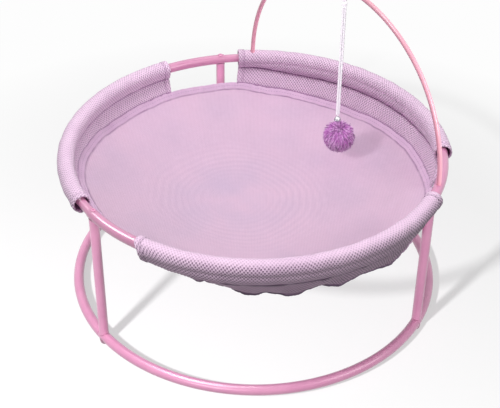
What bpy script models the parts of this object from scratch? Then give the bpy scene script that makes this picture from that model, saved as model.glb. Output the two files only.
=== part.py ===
"""Raised round pet bed: two tube rings on three legs, a slung mesh bowl and a toy on an arch.

Metres, +Z up. The origin is on the floor under the middle of the rings. The arch stands
over the back, at +Y, so the open front faces -Y. Azimuths are degrees from +X towards +Y,
and each ring runs clockwise seen from above, so that azimuths fall along it.
"""

import math

import bmesh
import bpy
from mathutils import Matrix, Vector

# Clearances
FIT_GAP = 0.0003
COPE_GAP = 0.0005
CLOTH_GAP = 0.0005

# Frame tube
RING_RADIUS = 0.215
RING_SPACING = 0.1725
TUBE_DIAMETER = 0.012
TUBE_WALL = 0.0006
LEG_DIAMETER = 0.011
LEG_AZIMUTHS = {"front": 272.0, "left": 157.0, "right": 27.0}
SOCKET_PAST_LEG = 0.0049
PLUG_DEPTH = 0.022
SWAGE_SHOWN = 0.0215
SWAGE_TAPER = 0.0045

# Fasteners
SCREW_DIAMETER = 0.0042
SCREW_GRIP = 0.012
TOP_HEAD_DIAMETER = 0.0064
TOP_HEAD_HEIGHT = 0.0010
FOOT_DIAMETER = 0.011
FOOT_HEIGHT = 0.004
FOOT_FACE_DIAMETER = 0.0072
HEAD_EDGE = 0.25
HEAD_CROWN = 0.22
HEAD_WAIST = 0.80
INSERT_LENGTH = 0.014
INSERT_SETBACK = 0.0012

# Sling: sleeves on the top ring, flaps, bound edge and bowl
SLEEVE_SPANS = {"back": (150.75, 53.45), "right": (28.60, -68.30), "left": (265.45, 176.25)}
SLEEVE_SLACK = 0.0022
SLEEVE_CLOTH = 0.0016
SLEEVE_DROOP = 0.0002
SLEEVE_LEAN = 0.0013
SLEEVE_OPEN_FROM = -40.0
SLEEVE_WRAP = 255.0
SLEEVE_EASE = 0.25
SEAM_CLOTH = 0.0028
SEAM_DROP = 0.0200
SEAM_SHARES = {"back": (0.60, 0.98, 0.70), "right": (0.95, 1.14, 0.85), "left": (0.60, 0.66, 0.60)}
SEAM_INSET = 0.0015
LEG_SLOT_CLEARANCE = 0.0008
LEG_EASE = 1 / 6
FLAP_INSET = 0.0105
FLAP_DROP = 0.0440
# The bound edge as (azimuth, share of FLAP_INSET, share of FLAP_DROP): the sling is deep on
# the right and shallow towards the front leg
EDGE_LINE = (
    (0, 1.00, 1.02), (8, 1.00, 1.07), (15, 1.00, 1.09), (22, 1.00, 1.05), (31, 0.95, 0.98),
    (42, 0.80, 0.93), (52, 0.76, 0.95), (61, 0.90, 0.98), (70, 1.00, 0.94), (80, 1.00, 0.94),
    (92, 1.00, 0.98), (107, 1.00, 1.02), (120, 1.00, 1.00), (129, 1.00, 0.925),
    (137, 1.00, 0.90), (143, 1.00, 0.83), (151, 1.00, 0.68), (163, 1.10, 0.67),
    (176, 1.00, 0.65), (187, 1.00, 0.68), (198, 1.00, 0.71), (207, 1.00, 0.67),
    (216, 1.00, 0.59), (222, 1.00, 0.555), (229, 1.00, 0.475), (236, 1.02, 0.41),
    (250, 1.14, 0.375), (258, 1.24, 0.365), (265, 1.29, 0.36), (272, 1.33, 0.36),
    (280, 1.33, 0.355), (290, 1.24, 0.385), (297, 1.10, 0.50), (303, 1.00, 0.635),
    (309, 1.00, 0.76), (316, 1.00, 0.80), (322, 1.00, 0.92), (332, 1.00, 0.96),
    (345, 1.00, 1.00), (360, 1.00, 1.02),
)
BINDING_THICKNESS = 0.0024
BINDING_RUN_IN = 0.0065
BINDING_RUN_DOWN = 0.0060
PUCKER_HEIGHT = 0.0014
PUCKERS = 18
PUCKER_IN_GAPS = 0.25
BOWL_CLOTH = 0.0014
BOWL_DEPTH = 0.0720
BOWL_CURVE = 2.3

# Arch and toy
ARCH_HALF_ANGLE = 55.75
ARCH_HEIGHT = 0.171
ARCH_ROD_DIAMETER = 0.0055
ARCH_FULLNESS = 2.15
CORD_DIAMETER = 0.0026
CORD_SPACING = 0.0030
LOOP_RADIUS = 0.0052
LOOP_WRAP = 220.0
LOOP_TAIL = 0.0030
KNOT_DROP = 0.0210
KNOT_SIZE = (0.0026, 0.0036, 0.0027)
BELL_DIAMETER = 0.008
BELL_WALL = 0.0006
BELL_SLOT = 0.0011
BELL_SLOT_TOP = 0.085
BELL_LUG_DIAMETER = 0.0026
BELL_LUG_HEIGHT = 0.0022
PELLET_DIAMETER = 0.0030
POMPOM_DIAMETER = 0.039
POMPOM_OVER_BOWL = 0.0179

# Facets
TUBE_SIDES = 10
ROUND_SIDES = 16
LUG_SIDES = 12
CURVE_RESOLUTION = 2
SLEEVE_FACETS = 8
LOOP_STEPS = 10
RING_STEP = 6.0
CLOTH_STEP = 5.0
BOWL_RINGS = 5
ARCH_STEPS = 36

# What follows from the sizes above
TUBE_R = TUBE_DIAMETER / 2
BORE_R = TUBE_R - TUBE_WALL
PLUG_R = BORE_R - FIT_GAP
PLUG_BORE_R = PLUG_R - TUBE_WALL
LEG_R = LEG_DIAMETER / 2
SCREW_R = SCREW_DIAMETER / 2
HOLE_R = SCREW_R + FIT_GAP
ROD_R = ARCH_ROD_DIAMETER / 2
CORD_R = CORD_DIAMETER / 2
BASE_Z = FOOT_HEIGHT + TUBE_R
TOP_Z = BASE_Z + RING_SPACING
SLEEVE_BORE_R = TUBE_R + SLEEVE_SLACK
SLEEVE_OUTER_R = SLEEVE_BORE_R + SLEEVE_CLOTH
ARCH_HALF_SPAN = RING_RADIUS * math.sin(math.radians(ARCH_HALF_ANGLE))
ARCH_Y = RING_RADIUS * math.cos(math.radians(ARCH_HALF_ANGLE))
APEX_Z = TOP_Z + ARCH_HEIGHT
KNOT_Z = APEX_Z - KNOT_DROP

PINK_PAINT = ("pink_paint", (0.70, 0.30, 0.46), 0.38, 0.0)
ROD_PAINT = ("rod_paint", (0.72, 0.31, 0.47), 0.34, 0.0)
STEEL = ("bright_steel", (0.62, 0.62, 0.63), 0.28, 1.0)
THICK_MESH = ("thick_lilac_mesh", (0.66, 0.46, 0.63), 0.90, 0.0)
FINE_MESH = ("fine_lilac_mesh", (0.68, 0.50, 0.66), 0.88, 0.0)
TAPE = ("lilac_tape", (0.62, 0.42, 0.60), 0.85, 0.0)
CORD_WHITE = ("white_cord", (0.82, 0.80, 0.84), 0.80, 0.0)
YARN = ("purple_yarn", (0.46, 0.17, 0.44), 0.95, 0.0)


# Helpers

def material(spec):
    """Return the Principled material of a (name, colour, roughness, metallic) tuple."""
    name, colour, roughness, metallic = spec
    found = bpy.data.materials.get(name)
    if found:
        return found
    made = bpy.data.materials.new(name)
    made.use_nodes = True
    shader = made.node_tree.nodes["Principled BSDF"]
    shader.inputs["Base Color"].default_value = (*colour, 1.0)
    shader.inputs["Roughness"].default_value = roughness
    shader.inputs["Metallic"].default_value = metallic
    return made


def degrees_for(length):
    """The azimuth that a length along the ring's centreline takes up."""
    return math.degrees(length / RING_RADIUS)


def ring_point(azimuth, outward, height):
    """A point beside a ring's centreline: outward from it, at a height."""
    angle = math.radians(azimuth)
    radius = RING_RADIUS + outward
    return Vector((radius * math.cos(angle), radius * math.sin(angle), height))


def smooth_step(value):
    """Ease from 0 to 1 as value goes from 0 to 1, and hold past both."""
    value = min(max(value, 0.0), 1.0)
    return value * value * (3 - 2 * value)


def add_object(name, mesh, spec):
    """Link a mesh as a named object with its material."""
    made = bpy.data.objects.new(name, mesh)
    mesh.materials.append(material(spec))
    bpy.context.scene.collection.objects.link(made)
    return made


def finish_mesh(name, bm, spec, sharp_angle=50.0):
    """Turn a bmesh into a smooth shaded object whose faces point out."""
    bmesh.ops.recalc_face_normals(bm, faces=bm.faces)
    mesh = bpy.data.meshes.new(name)
    bm.to_mesh(mesh)
    bm.free()
    mesh.shade_smooth()
    mesh.set_sharp_from_angle(angle=math.radians(sharp_angle))
    return add_object(name, mesh, spec)


def loft(bm, rings, closed=False, caps=True):
    """Join rings of equally many points with quads, as a tube or as a closed band."""
    rows = [[bm.verts.new(point) for point in ring] for ring in rings]
    count = len(rows[0])
    pairs = list(zip(rows, rows[1:]))
    if closed:
        pairs.append((rows[-1], rows[0]))
    for first, second in pairs:
        for i in range(count):
            j = (i + 1) % count
            bm.faces.new((first[i], first[j], second[j], second[i]))
    if caps and not closed:
        bm.faces.new(rows[0])
        bm.faces.new(rows[-1])
    return rows


def circle(radius, sides, phase=0.0):
    """Points of a circle as (a, b) pairs."""
    turn = 2 * math.pi / sides
    return [(radius * math.cos(turn * (i + phase)), radius * math.sin(turn * (i + phase)))
            for i in range(sides)]


def upright_ring(centre, radius, sides, height):
    """A level ring of points round a vertical axis; height is a number or f(point)."""
    points = []
    for a, b in circle(radius, sides):
        spot = Vector((centre.x + a, centre.y + b, 0.0))
        spot.z = height(spot) if callable(height) else height
        points.append(spot)
    return points


def saddle(spot):
    """How far above or below a ring's axis something that lies on its tube is, at a spot."""
    offset = math.hypot(spot.x, spot.y) - RING_RADIUS
    return math.sqrt(max((TUBE_R + COPE_GAP) ** 2 - offset ** 2, 0.0))


def cylinder_cutter(name, centre, radius, low, high):
    """A round cutter on a vertical axis, left out of the model."""
    bm = bmesh.new()
    loft(bm, [upright_ring(centre, radius, ROUND_SIDES, z) for z in (low, high)])
    return as_cutter(name, bm)


def as_cutter(name, bm):
    """Link a bmesh as a hidden cutting shape."""
    bmesh.ops.recalc_face_normals(bm, faces=bm.faces)
    mesh = bpy.data.meshes.new(name)
    bm.to_mesh(mesh)
    bm.free()
    cutter = bpy.data.objects.new(name, mesh)
    cutter.hide_render = True
    cutter.display_type = "WIRE"
    bpy.context.scene.collection.objects.link(cutter)
    return cutter


def cut(target, cutters):
    """Take each cutter out of the target."""
    for cutter in cutters:
        step = target.modifiers.new(cutter.name, "BOOLEAN")
        step.operation = "DIFFERENCE"
        step.solver = "EXACT"
        step.object = cutter


# Rings

def arc(start, end, radius):
    """Stations (azimuth, tube radius) from start to end along the ring."""
    steps = max(1, math.ceil(abs(start - end) / RING_STEP))
    return [(start + (end - start) * i / steps, radius) for i in range(steps + 1)]


def tube_ring(azimuth, radius, height):
    """The cross-section of a ring's tube at one azimuth."""
    return [ring_point(azimuth, a, height + b) for a, b in circle(radius, TUBE_SIDES, 0.5)]


def ring_section(name, start_leg, end_leg, height, swage_shown):
    """One hollow length of a ring: its plug is in the last length's socket, its socket open."""
    end_azimuth = LEG_AZIMUTHS[end_leg]
    start_azimuth = LEG_AZIMUTHS[start_leg]
    if start_azimuth < end_azimuth:
        start_azimuth += 360.0
    past = degrees_for(SOCKET_PAST_LEG)
    rim = start_azimuth - past
    tip = rim + degrees_for(PLUG_DEPTH)
    shoulder = rim - degrees_for(max(swage_shown, FIT_GAP))
    full = shoulder - degrees_for(SWAGE_TAPER if swage_shown else 0.0)
    mouth = end_azimuth - past
    wall = degrees_for(0.0 if swage_shown else TUBE_WALL)
    outer = arc(tip, shoulder, PLUG_R) + arc(full, mouth, TUBE_R)
    inner = arc(tip, shoulder - wall, PLUG_BORE_R)
    inner += arc(full - max(wall, degrees_for(TUBE_WALL)), mouth, BORE_R)
    stations = outer + inner[::-1]
    bm = bmesh.new()
    loft(bm, [tube_ring(azimuth, radius, height) for azimuth, radius in stations], closed=True)
    return finish_mesh(name, bm, PINK_PAINT)


def screw_cutters(label, height):
    """The screw holes through one ring, one at each leg."""
    reach = TUBE_R * 2
    return {
        leg: cylinder_cutter(f"cut_{label}_{leg}", ring_point(azimuth, 0.0, 0.0), HOLE_R,
                             height - reach, height + reach)
        for leg, azimuth in LEG_AZIMUTHS.items()
    }


def build_rings():
    """Both rings, each of three lengths, drilled for the screws and the arch."""
    runs = (("back", "left", "right"), ("right", "right", "front"), ("left", "front", "left"))
    made = {}
    for label, height, shown in (("top", TOP_Z, SWAGE_SHOWN), ("base", BASE_Z, 0.0)):
        holes = screw_cutters(label, height)
        for side, start_leg, end_leg in runs:
            section = ring_section(f"{label}_ring_{side}", start_leg, end_leg, height, shown)
            cut(section, (holes[start_leg], holes[end_leg]))
            made[label, side] = section
    return made


# Legs and fasteners

def build_leg(leg):
    """A tube leg whose ends are coped to sit on both rings."""
    centre = ring_point(LEG_AZIMUTHS[leg], 0.0, 0.0)
    rings = []
    for radius, ends in ((LEG_R, (1, -1)), (LEG_R - TUBE_WALL, (-1, 1))):
        for end in ends:
            if end > 0:
                rings.append(upright_ring(centre, radius, ROUND_SIDES, lambda p: BASE_Z + saddle(p)))
            else:
                rings.append(upright_ring(centre, radius, ROUND_SIDES, lambda p: TOP_Z - saddle(p)))
    bm = bmesh.new()
    loft(bm, rings, closed=True)
    return finish_mesh(f"leg_{leg}", bm, PINK_PAINT)


def build_insert(leg, label, ring_z, side):
    """The threaded plug in a leg's end; side is 1 over its ring and -1 under it."""
    centre = ring_point(LEG_AZIMUTHS[leg], 0.0, 0.0)
    outer = LEG_R - TUBE_WALL - FIT_GAP
    near = ring_z + side * (TUBE_R + INSERT_SETBACK)
    far = near + side * INSERT_LENGTH
    rings = [upright_ring(centre, radius, ROUND_SIDES, z)
             for radius, z in ((outer, near), (outer, far), (HOLE_R, far), (HOLE_R, near))]
    bm = bmesh.new()
    loft(bm, rings, closed=True)
    return finish_mesh(f"leg_insert_{label}_{leg}", bm, STEEL)


def build_screw(leg, label, ring_z, side, head_radius, face_radius, head_height):
    """A screw through a ring into a leg; side is 1 with its head on top, -1 under the ring."""
    centre = ring_point(LEG_AZIMUTHS[leg], 0.0, 0.0)
    reach = -(TUBE_R + INSERT_SETBACK + SCREW_GRIP)
    face = TUBE_R + head_height
    waist_radius = face_radius + (head_radius - face_radius) * HEAD_WAIST

    def at(distance):
        return lambda spot: ring_z + side * distance(spot)

    levels = [
        (SCREW_R, lambda spot: reach),
        (SCREW_R, saddle),
        (head_radius, saddle),
        (head_radius, lambda spot: saddle(spot) + head_height * HEAD_EDGE),
        (waist_radius, lambda spot: (saddle(spot) + face) / 2 + head_height * HEAD_CROWN),
        (face_radius, lambda spot: face),
    ]
    rings = [upright_ring(centre, radius, ROUND_SIDES, at(level)) for radius, level in levels]
    bm = bmesh.new()
    loft(bm, rings)
    return finish_mesh(f"{label}_screw_{leg}", bm, PINK_PAINT)


def build_legs():
    """Three legs with their inserts and screws."""
    for leg in LEG_AZIMUTHS:
        build_leg(leg)
        build_insert(leg, "top", TOP_Z, -1)
        build_insert(leg, "base", BASE_Z, 1)
        build_screw(leg, "top", TOP_Z, 1, TOP_HEAD_DIAMETER / 2, TOP_HEAD_DIAMETER / 4,
                    TOP_HEAD_HEIGHT)
        build_screw(leg, "base", BASE_Z, -1, FOOT_DIAMETER / 2, FOOT_FACE_DIAMETER / 2,
                    FOOT_HEIGHT)


# Sling

def sleeve_place(azimuth):
    """The sleeve at an azimuth and how far it is from its ends, from 0 to 1, or the gap's 0."""
    for side, (start, end) in SLEEVE_SPANS.items():
        along = (start - azimuth) % 360.0
        span = (start - end) % 360.0
        if along <= span:
            return side, smooth_step(min(along, span - along) / (span * SLEEVE_EASE))
    return "gap", 0.0


def pucker(azimuth):
    """The gathers along the bound edge, stronger inside the sleeves."""
    wave = math.sin(math.radians(azimuth) * PUCKERS)
    strength = PUCKER_IN_GAPS + (1 - PUCKER_IN_GAPS) * sleeve_place(azimuth)[1]
    return PUCKER_HEIGHT * wave * strength


def edge_top(azimuth):
    """(outward, upward) place of the bound edge's top beside the top ring's centreline."""
    azimuth %= 360.0
    for (low, *first), (high, *last) in zip(EDGE_LINE, EDGE_LINE[1:]):
        if azimuth <= high:
            break
    share = (azimuth - low) / (high - low)
    inset, drop = (a + (b - a) * share for a, b in zip(first, last))
    return Vector((-inset * FLAP_INSET, -drop * FLAP_DROP - pucker(azimuth)))


def edge_frame(azimuth):
    """The bound edge's top and bottom, the direction down it and across it."""
    top = edge_top(azimuth)
    down = Vector((-BINDING_RUN_IN, -BINDING_RUN_DOWN))
    bottom = top + down
    down.normalize()
    return top, bottom, down, Vector((-down.y, down.x))


def place(azimuth, spot):
    """A point from its (outward, upward) place beside the top ring's centreline."""
    return ring_point(azimuth, spot.x, TOP_Z + spot.y)


def sleeve_profile(azimuth, seam):
    """The cloth's section: round the tube, closed at the seam, and down to the bound edge."""
    top, _, down, across = edge_frame(azimuth)
    centre = Vector((SLEEVE_LEAN, -SLEEVE_DROOP))
    angles = [math.radians(SLEEVE_OPEN_FROM + SLEEVE_WRAP * i / SLEEVE_FACETS)
              for i in range(SLEEVE_FACETS + 1)]
    round_points = [Vector((math.cos(a), math.sin(a))) for a in angles]
    half = SEAM_CLOTH / 2
    hem = top - down * CLOTH_GAP
    outer = [hem + across * half, seam + Vector((half, 0.0))]
    outer += [centre + point * SLEEVE_OUTER_R for point in round_points]
    outer += [seam - Vector((half, 0.0)), hem - across * half]
    pinch = seam + (centre - seam).normalized() * SEAM_CLOTH * 1.25
    inner = [pinch] + [centre + point * SLEEVE_BORE_R for point in round_points]
    return outer, inner


def seam_place(side, along, span, inset_start):
    """(outward, upward) place of the seam under the tube."""
    first, middle, last = SEAM_SHARES[side]
    end = first if along < span - along else last
    share = smooth_step(min(along, span - along) / (span * SLEEVE_EASE))
    drop = SEAM_DROP * (end + (middle - end) * share)
    shift = (inset_start - SEAM_INSET) * (1 - smooth_step(along / (span * LEG_EASE)))
    return Vector((-SEAM_INSET - shift, -drop))


def cloth_stations(start, end):
    """The span's ends and the steps of the cloth's grid that lie well between them."""
    least = 0.25
    first = math.floor(start / CLOTH_STEP - least)
    last = math.ceil(end / CLOTH_STEP + least)
    return [start] + [k * CLOTH_STEP for k in range(first, last - 1, -1)] + [end]


def bridge_cap(bm, outer_row, inner_row):
    """Close a sleeve's end between its outer outline and its bore."""
    bm.faces.new((outer_row[0], outer_row[1], outer_row[-2], outer_row[-1]))
    bm.faces.new((outer_row[1], outer_row[2], inner_row[1], inner_row[0]))
    for i in range(1, len(inner_row) - 1):
        bm.faces.new((outer_row[i + 1], outer_row[i + 2], inner_row[i + 1], inner_row[i]))
    bm.faces.new((outer_row[-3], outer_row[-2], inner_row[0], inner_row[-1]))
    bm.faces.new((outer_row[1], inner_row[0], outer_row[-2]))


def build_sleeve(side, inset_start):
    """One sleeve with its flap."""
    start, end = SLEEVE_SPANS[side]
    outers = []
    inners = []
    for azimuth in cloth_stations(start, end):
        seam = seam_place(side, start - azimuth, start - end, inset_start)
        outer, inner = sleeve_profile(azimuth, seam)
        outers.append([place(azimuth, spot) for spot in outer])
        inners.append([place(azimuth, spot) for spot in inner])
    bm = bmesh.new()
    outer_rows = loft(bm, outers, caps=False)
    inner_rows = loft(bm, inners, caps=False)
    bridge_cap(bm, outer_rows[0], inner_rows[0])
    bridge_cap(bm, outer_rows[-1], inner_rows[-1])
    return finish_mesh(f"sleeve_{side}", bm, THICK_MESH)


def leg_slot_cutter():
    """The slot in the right sleeve's underside that lets it lie over the leg."""
    azimuth = LEG_AZIMUTHS["right"]
    half_width = LEG_R + LEG_SLOT_CLEARANCE
    start = math.radians(SLEEVE_SPANS["right"][0] - azimuth) * RING_RADIUS + half_width
    angle = math.radians(azimuth)
    outward = Vector((math.cos(angle), math.sin(angle), 0.0))
    onward = Vector((-math.sin(angle), math.cos(angle), 0.0))
    centre = ring_point(azimuth, 0.0, 0.0)
    outline = [centre + outward * a + onward * b for a, b in (
        (half_width, -half_width / 2), (half_width / 2, -half_width),
        (-half_width / 2, -half_width), (-half_width, -half_width / 2),
        (-half_width, start), (half_width, start))]
    levels = (TOP_Z - 2 * FLAP_DROP, TOP_Z)
    bm = bmesh.new()
    loft(bm, [[point + Vector((0, 0, z)) for point in outline] for z in levels])
    return as_cutter("cut_leg_slot", bm)


def build_binding():
    """The tape that binds the bowl's edge, as one closed band."""
    rings = []
    for k in range(round(360 / CLOTH_STEP)):
        azimuth = k * CLOTH_STEP
        top, bottom, _, across = edge_frame(azimuth)
        half = across * BINDING_THICKNESS / 2
        rings.append([place(azimuth, spot) for spot in (top + half, top - half, bottom - half,
                                                        bottom + half)])
    bm = bmesh.new()
    loft(bm, rings, closed=True)
    return finish_mesh("edge_binding", bm, TAPE)


def bowl_height(azimuth, share):
    """Height of the bowl's cloth at a share of the way from its middle to its rim."""
    _, bottom, _, _ = edge_frame(azimuth)
    middle = TOP_Z - BOWL_DEPTH
    return middle + (TOP_Z + bottom.y - middle) * share ** BOWL_CURVE


def bowl_row(azimuth, share, side):
    """A point on the bowl's upper (1) or lower (-1) face."""
    _, bottom, down, across = edge_frame(azimuth)
    rim = bottom + down * CLOTH_GAP
    if share == 1.0:
        return place(azimuth, rim - across * side * BOWL_CLOTH / 2)
    radius = (RING_RADIUS + rim.x) * share
    return ring_point(azimuth, radius - RING_RADIUS,
                      bowl_height(azimuth, share) + side * BOWL_CLOTH / 2)


def build_bowl():
    """The slung mesh bowl."""
    bm = bmesh.new()
    count = round(360 / CLOTH_STEP)
    shares = [1.0 - i / BOWL_RINGS for i in range(BOWL_RINGS)]
    rows = {}
    for side in (1, -1):
        for share in shares:
            rows[side, share] = [bm.verts.new(bowl_row(k * CLOTH_STEP, share, side))
                                 for k in range(count)]
    for side in (1, -1):
        middle = bm.verts.new((0.0, 0.0, TOP_Z - BOWL_DEPTH + side * BOWL_CLOTH / 2))
        for k in range(count):
            j = (k + 1) % count
            for wide, narrow in zip(shares, shares[1:]):
                first = rows[side, wide]
                second = rows[side, narrow]
                bm.faces.new((first[k], first[j], second[j], second[k]))
            last = rows[side, shares[-1]]
            bm.faces.new((last[k], last[j], middle))
    for k in range(count):
        j = (k + 1) % count
        bm.faces.new((rows[1, 1.0][k], rows[1, 1.0][j], rows[-1, 1.0][j], rows[-1, 1.0][k]))
    return finish_mesh("bowl_panel", bm, FINE_MESH)


# Arch

def arch_point(turn):
    """A point of the arch's centreline, for turns from 0 at the right foot to pi."""
    reach = abs(math.cos(turn)) ** (2 / ARCH_FULLNESS)
    rise = abs(math.sin(turn)) ** (2 / ARCH_FULLNESS)
    return Vector((math.copysign(ARCH_HALF_SPAN * reach, math.cos(turn)), ARCH_Y,
                   TOP_Z + ARCH_HEIGHT * rise))


def curve_tube(name, points, radius, spec):
    """A round tube along points, as a curve with filled caps."""
    curve = bpy.data.curves.new(name, "CURVE")
    curve.dimensions = "3D"
    curve.bevel_depth = radius
    curve.bevel_resolution = CURVE_RESOLUTION
    curve.use_fill_caps = True
    spline = curve.splines.new("POLY")
    spline.points.add(len(points) - 1)
    for target, point in zip(spline.points, points):
        target.co = (*point, 1.0)
    made = bpy.data.objects.new(name, curve)
    curve.materials.append(material(spec))
    bpy.context.scene.collection.objects.link(made)
    return made


def build_arch():
    """The bent rod, whose feet stand in holes in the top ring."""
    bore = BORE_R * math.cos(math.pi / TUBE_SIDES)
    foot = Vector((0.0, 0.0, FIT_GAP - math.sqrt(bore ** 2 - ROD_R ** 2)))
    points = [arch_point(math.pi * i / ARCH_STEPS) for i in range(ARCH_STEPS + 1)]
    points = [points[0] + foot] + points + [points[-1] + foot]
    return curve_tube("arch_rod", points, ROD_R, ROD_PAINT)


def arch_hole_cutters():
    """The holes that the arch's feet stand in, through the ring's top and the cloth on it."""
    cutters = []
    for side, sign in (("left", -1), ("right", 1)):
        centre = Vector((sign * ARCH_HALF_SPAN, ARCH_Y, 0.0))
        cutters.append(cylinder_cutter(f"cut_arch_{side}", centre, ROD_R + FIT_GAP, TOP_Z,
                                       TOP_Z + 2 * SLEEVE_OUTER_R))
    return cutters


# Toy

def build_toy_loop():
    """The cord's loop over the rod, down to the knot on both sides."""
    crown_z = APEX_Z + ROD_R + FIT_GAP + CORD_R - LOOP_RADIUS
    foot_z = KNOT_Z + KNOT_SIZE[2] + FIT_GAP
    half = CORD_SPACING / 2
    crown = []
    for i in range(LOOP_STEPS + 1):
        turn = math.radians(90 + LOOP_WRAP * (i / LOOP_STEPS - 0.5))
        crown.append(Vector((0.0, ARCH_Y + LOOP_RADIUS * math.cos(turn),
                             crown_z + LOOP_RADIUS * math.sin(turn))))
    tail_z = foot_z + LOOP_TAIL
    points = [Vector((0.0, ARCH_Y + half, z)) for z in (foot_z, tail_z)]
    points += crown
    points += [Vector((0.0, ARCH_Y - half, z)) for z in (tail_z, foot_z)]
    return curve_tube("toy_loop", points, CORD_R, CORD_WHITE)


def ball(name, centre, size, spec, segments=12, rings=8):
    """A ball or an egg shape of three half sizes."""
    bm = bmesh.new()
    bmesh.ops.create_uvsphere(bm, u_segments=segments, v_segments=rings, radius=1.0)
    bmesh.ops.transform(bm, matrix=Matrix.Translation(centre) @ Matrix.Diagonal((*size, 1.0)),
                        verts=bm.verts)
    return finish_mesh(name, bm, spec)


def cord_points(side, top, bottom):
    """The route of one strand of the doubled cord, chosen by hand."""
    share_and_bow = [(0.0, 0.0), (0.12, 0.00005), (0.25, 0.00012), (0.4, 0.00015), (0.55, 0.00008),
                     (0.7, 0.0), (0.85, 0.00003), (1.0, 0.0)]
    return [Vector((side * bow, ARCH_Y + side * CORD_SPACING / 2, top + (bottom - top) * share))
            for share, bow in share_and_bow]


def build_bell(centre):
    """A small jingle bell: a slotted shell with a lug on top, and its pellet."""
    radius = BELL_DIAMETER / 2
    shell = ball("toy_bell", centre, (radius,) * 3, STEEL, 16, 10)
    lug_bm = bmesh.new()
    low = centre.z + radius - BELL_WALL
    high = centre.z + radius + BELL_LUG_HEIGHT
    loft(lug_bm, [upright_ring(centre, BELL_LUG_DIAMETER / 2, LUG_SIDES, z)
                  for z in (low, high)])
    lug = as_cutter("shape_bell_lug", lug_bm)
    join = shell.modifiers.new("lug", "BOOLEAN")
    join.operation = "UNION"
    join.solver = "EXACT"
    join.object = lug
    hollow_bm = bmesh.new()
    bmesh.ops.create_uvsphere(hollow_bm, u_segments=16, v_segments=10, radius=radius - BELL_WALL)
    bmesh.ops.translate(hollow_bm, vec=centre, verts=hollow_bm.verts)
    slot_bm = bmesh.new()
    bmesh.ops.create_cube(slot_bm, size=1.0)
    size = Matrix.Diagonal((BELL_SLOT, 2 * BELL_DIAMETER, BELL_DIAMETER, 1.0))
    slot_middle = BELL_DIAMETER * (0.5 + BELL_SLOT_TOP)
    shift = Matrix.Translation(centre - Vector((0.0, 0.0, slot_middle)))
    bmesh.ops.transform(slot_bm, matrix=shift @ size, verts=slot_bm.verts)
    cut(shell, (as_cutter("cut_bell_hollow", hollow_bm), as_cutter("cut_bell_slot", slot_bm)))
    pellet_radius = PELLET_DIAMETER / 2
    rest = centre - Vector((0.0, 0.0, radius - BELL_WALL - pellet_radius - 2 * FIT_GAP))
    ball("toy_bell_pellet", rest, (pellet_radius,) * 3, STEEL, 10, 6)


def build_toy():
    """The hanging toy: loop, knot, doubled cord, bell and pompom."""
    radius = POMPOM_DIAMETER / 2
    share = ARCH_Y / (RING_RADIUS + edge_frame(90.0)[1].x)
    pompom_z = bowl_height(90.0, share) + BOWL_CLOTH / 2 + POMPOM_OVER_BOWL + radius
    bell_z = pompom_z + radius + FIT_GAP + BELL_DIAMETER / 2
    cord_end = bell_z + BELL_DIAMETER / 2 + BELL_LUG_HEIGHT + FIT_GAP
    cord_start = KNOT_Z - KNOT_SIZE[2] - FIT_GAP
    build_toy_loop()
    ball("toy_knot", Vector((0.0, ARCH_Y, KNOT_Z)), KNOT_SIZE, CORD_WHITE)
    for side, label in ((1, "back"), (-1, "front")):
        route = cord_points(side, cord_start, cord_end)
        curve_tube(f"toy_cord_{label}", route, CORD_R, CORD_WHITE)
    build_bell(Vector((0.0, ARCH_Y, bell_z)))
    ball("toy_pompom", Vector((0.0, ARCH_Y, pompom_z)), (radius,) * 3, YARN, 16, 12)


def build():
    """Model the whole bed."""
    for old in list(bpy.data.objects):
        bpy.data.objects.remove(old, do_unlink=True)
    rings = build_rings()
    build_legs()
    arch_holes = arch_hole_cutters()
    cut(rings["top", "back"], arch_holes)
    sleeves = {side: build_sleeve(side, SEAM_INSET) for side in ("back", "left")}
    cut(sleeves["back"], arch_holes[:1])
    clear_of_leg = LEG_R + LEG_SLOT_CLEARANCE + SEAM_CLOTH / 2 + CLOTH_GAP
    cut(build_sleeve("right", clear_of_leg), (leg_slot_cutter(),))
    build_binding()
    build_bowl()
    build_arch()
    build_toy()


build()
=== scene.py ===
"""Looks of the raised round pet bed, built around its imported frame.

Metres, +Z up, in the frame's own axes: the rings stand round the origin, the arch over +Y.
Azimuths are degrees from +X towards +Y, and azimuths fall along each ring.
"""

import math
import random

import bmesh
import bpy
import numpy as np
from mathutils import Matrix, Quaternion, Vector


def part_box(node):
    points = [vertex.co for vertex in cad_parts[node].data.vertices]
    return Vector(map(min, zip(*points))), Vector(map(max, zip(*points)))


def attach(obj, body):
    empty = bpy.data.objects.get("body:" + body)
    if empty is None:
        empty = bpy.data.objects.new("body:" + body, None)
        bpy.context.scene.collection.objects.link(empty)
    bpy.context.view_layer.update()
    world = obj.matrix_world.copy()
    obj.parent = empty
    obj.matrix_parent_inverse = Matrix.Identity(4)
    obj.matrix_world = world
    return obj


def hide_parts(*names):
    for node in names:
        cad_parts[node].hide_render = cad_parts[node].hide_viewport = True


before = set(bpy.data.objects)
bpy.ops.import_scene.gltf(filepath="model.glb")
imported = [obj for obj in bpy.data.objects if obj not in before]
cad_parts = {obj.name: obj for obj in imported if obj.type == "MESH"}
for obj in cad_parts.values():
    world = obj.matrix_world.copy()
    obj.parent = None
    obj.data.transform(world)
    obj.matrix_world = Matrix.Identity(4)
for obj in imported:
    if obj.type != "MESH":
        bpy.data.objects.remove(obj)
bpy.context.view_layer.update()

# The frame's sizes, as the solids have them
FIT_GAP = 0.0003
COPE_GAP = 0.0005
CLOTH_GAP = 0.0005
RING_RADIUS = 0.215
RING_SPACING = 0.1725
TUBE_R = 0.006
TUBE_WALL = 0.0006
LEG_R = 0.0055
LEG_AZIMUTHS = {"front": 272.0, "left": 157.0, "right": 27.0}
SOCKET_PAST_LEG = 0.0049
PLUG_DEPTH = 0.022
SWAGE_SHOWN = 0.0215
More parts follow.
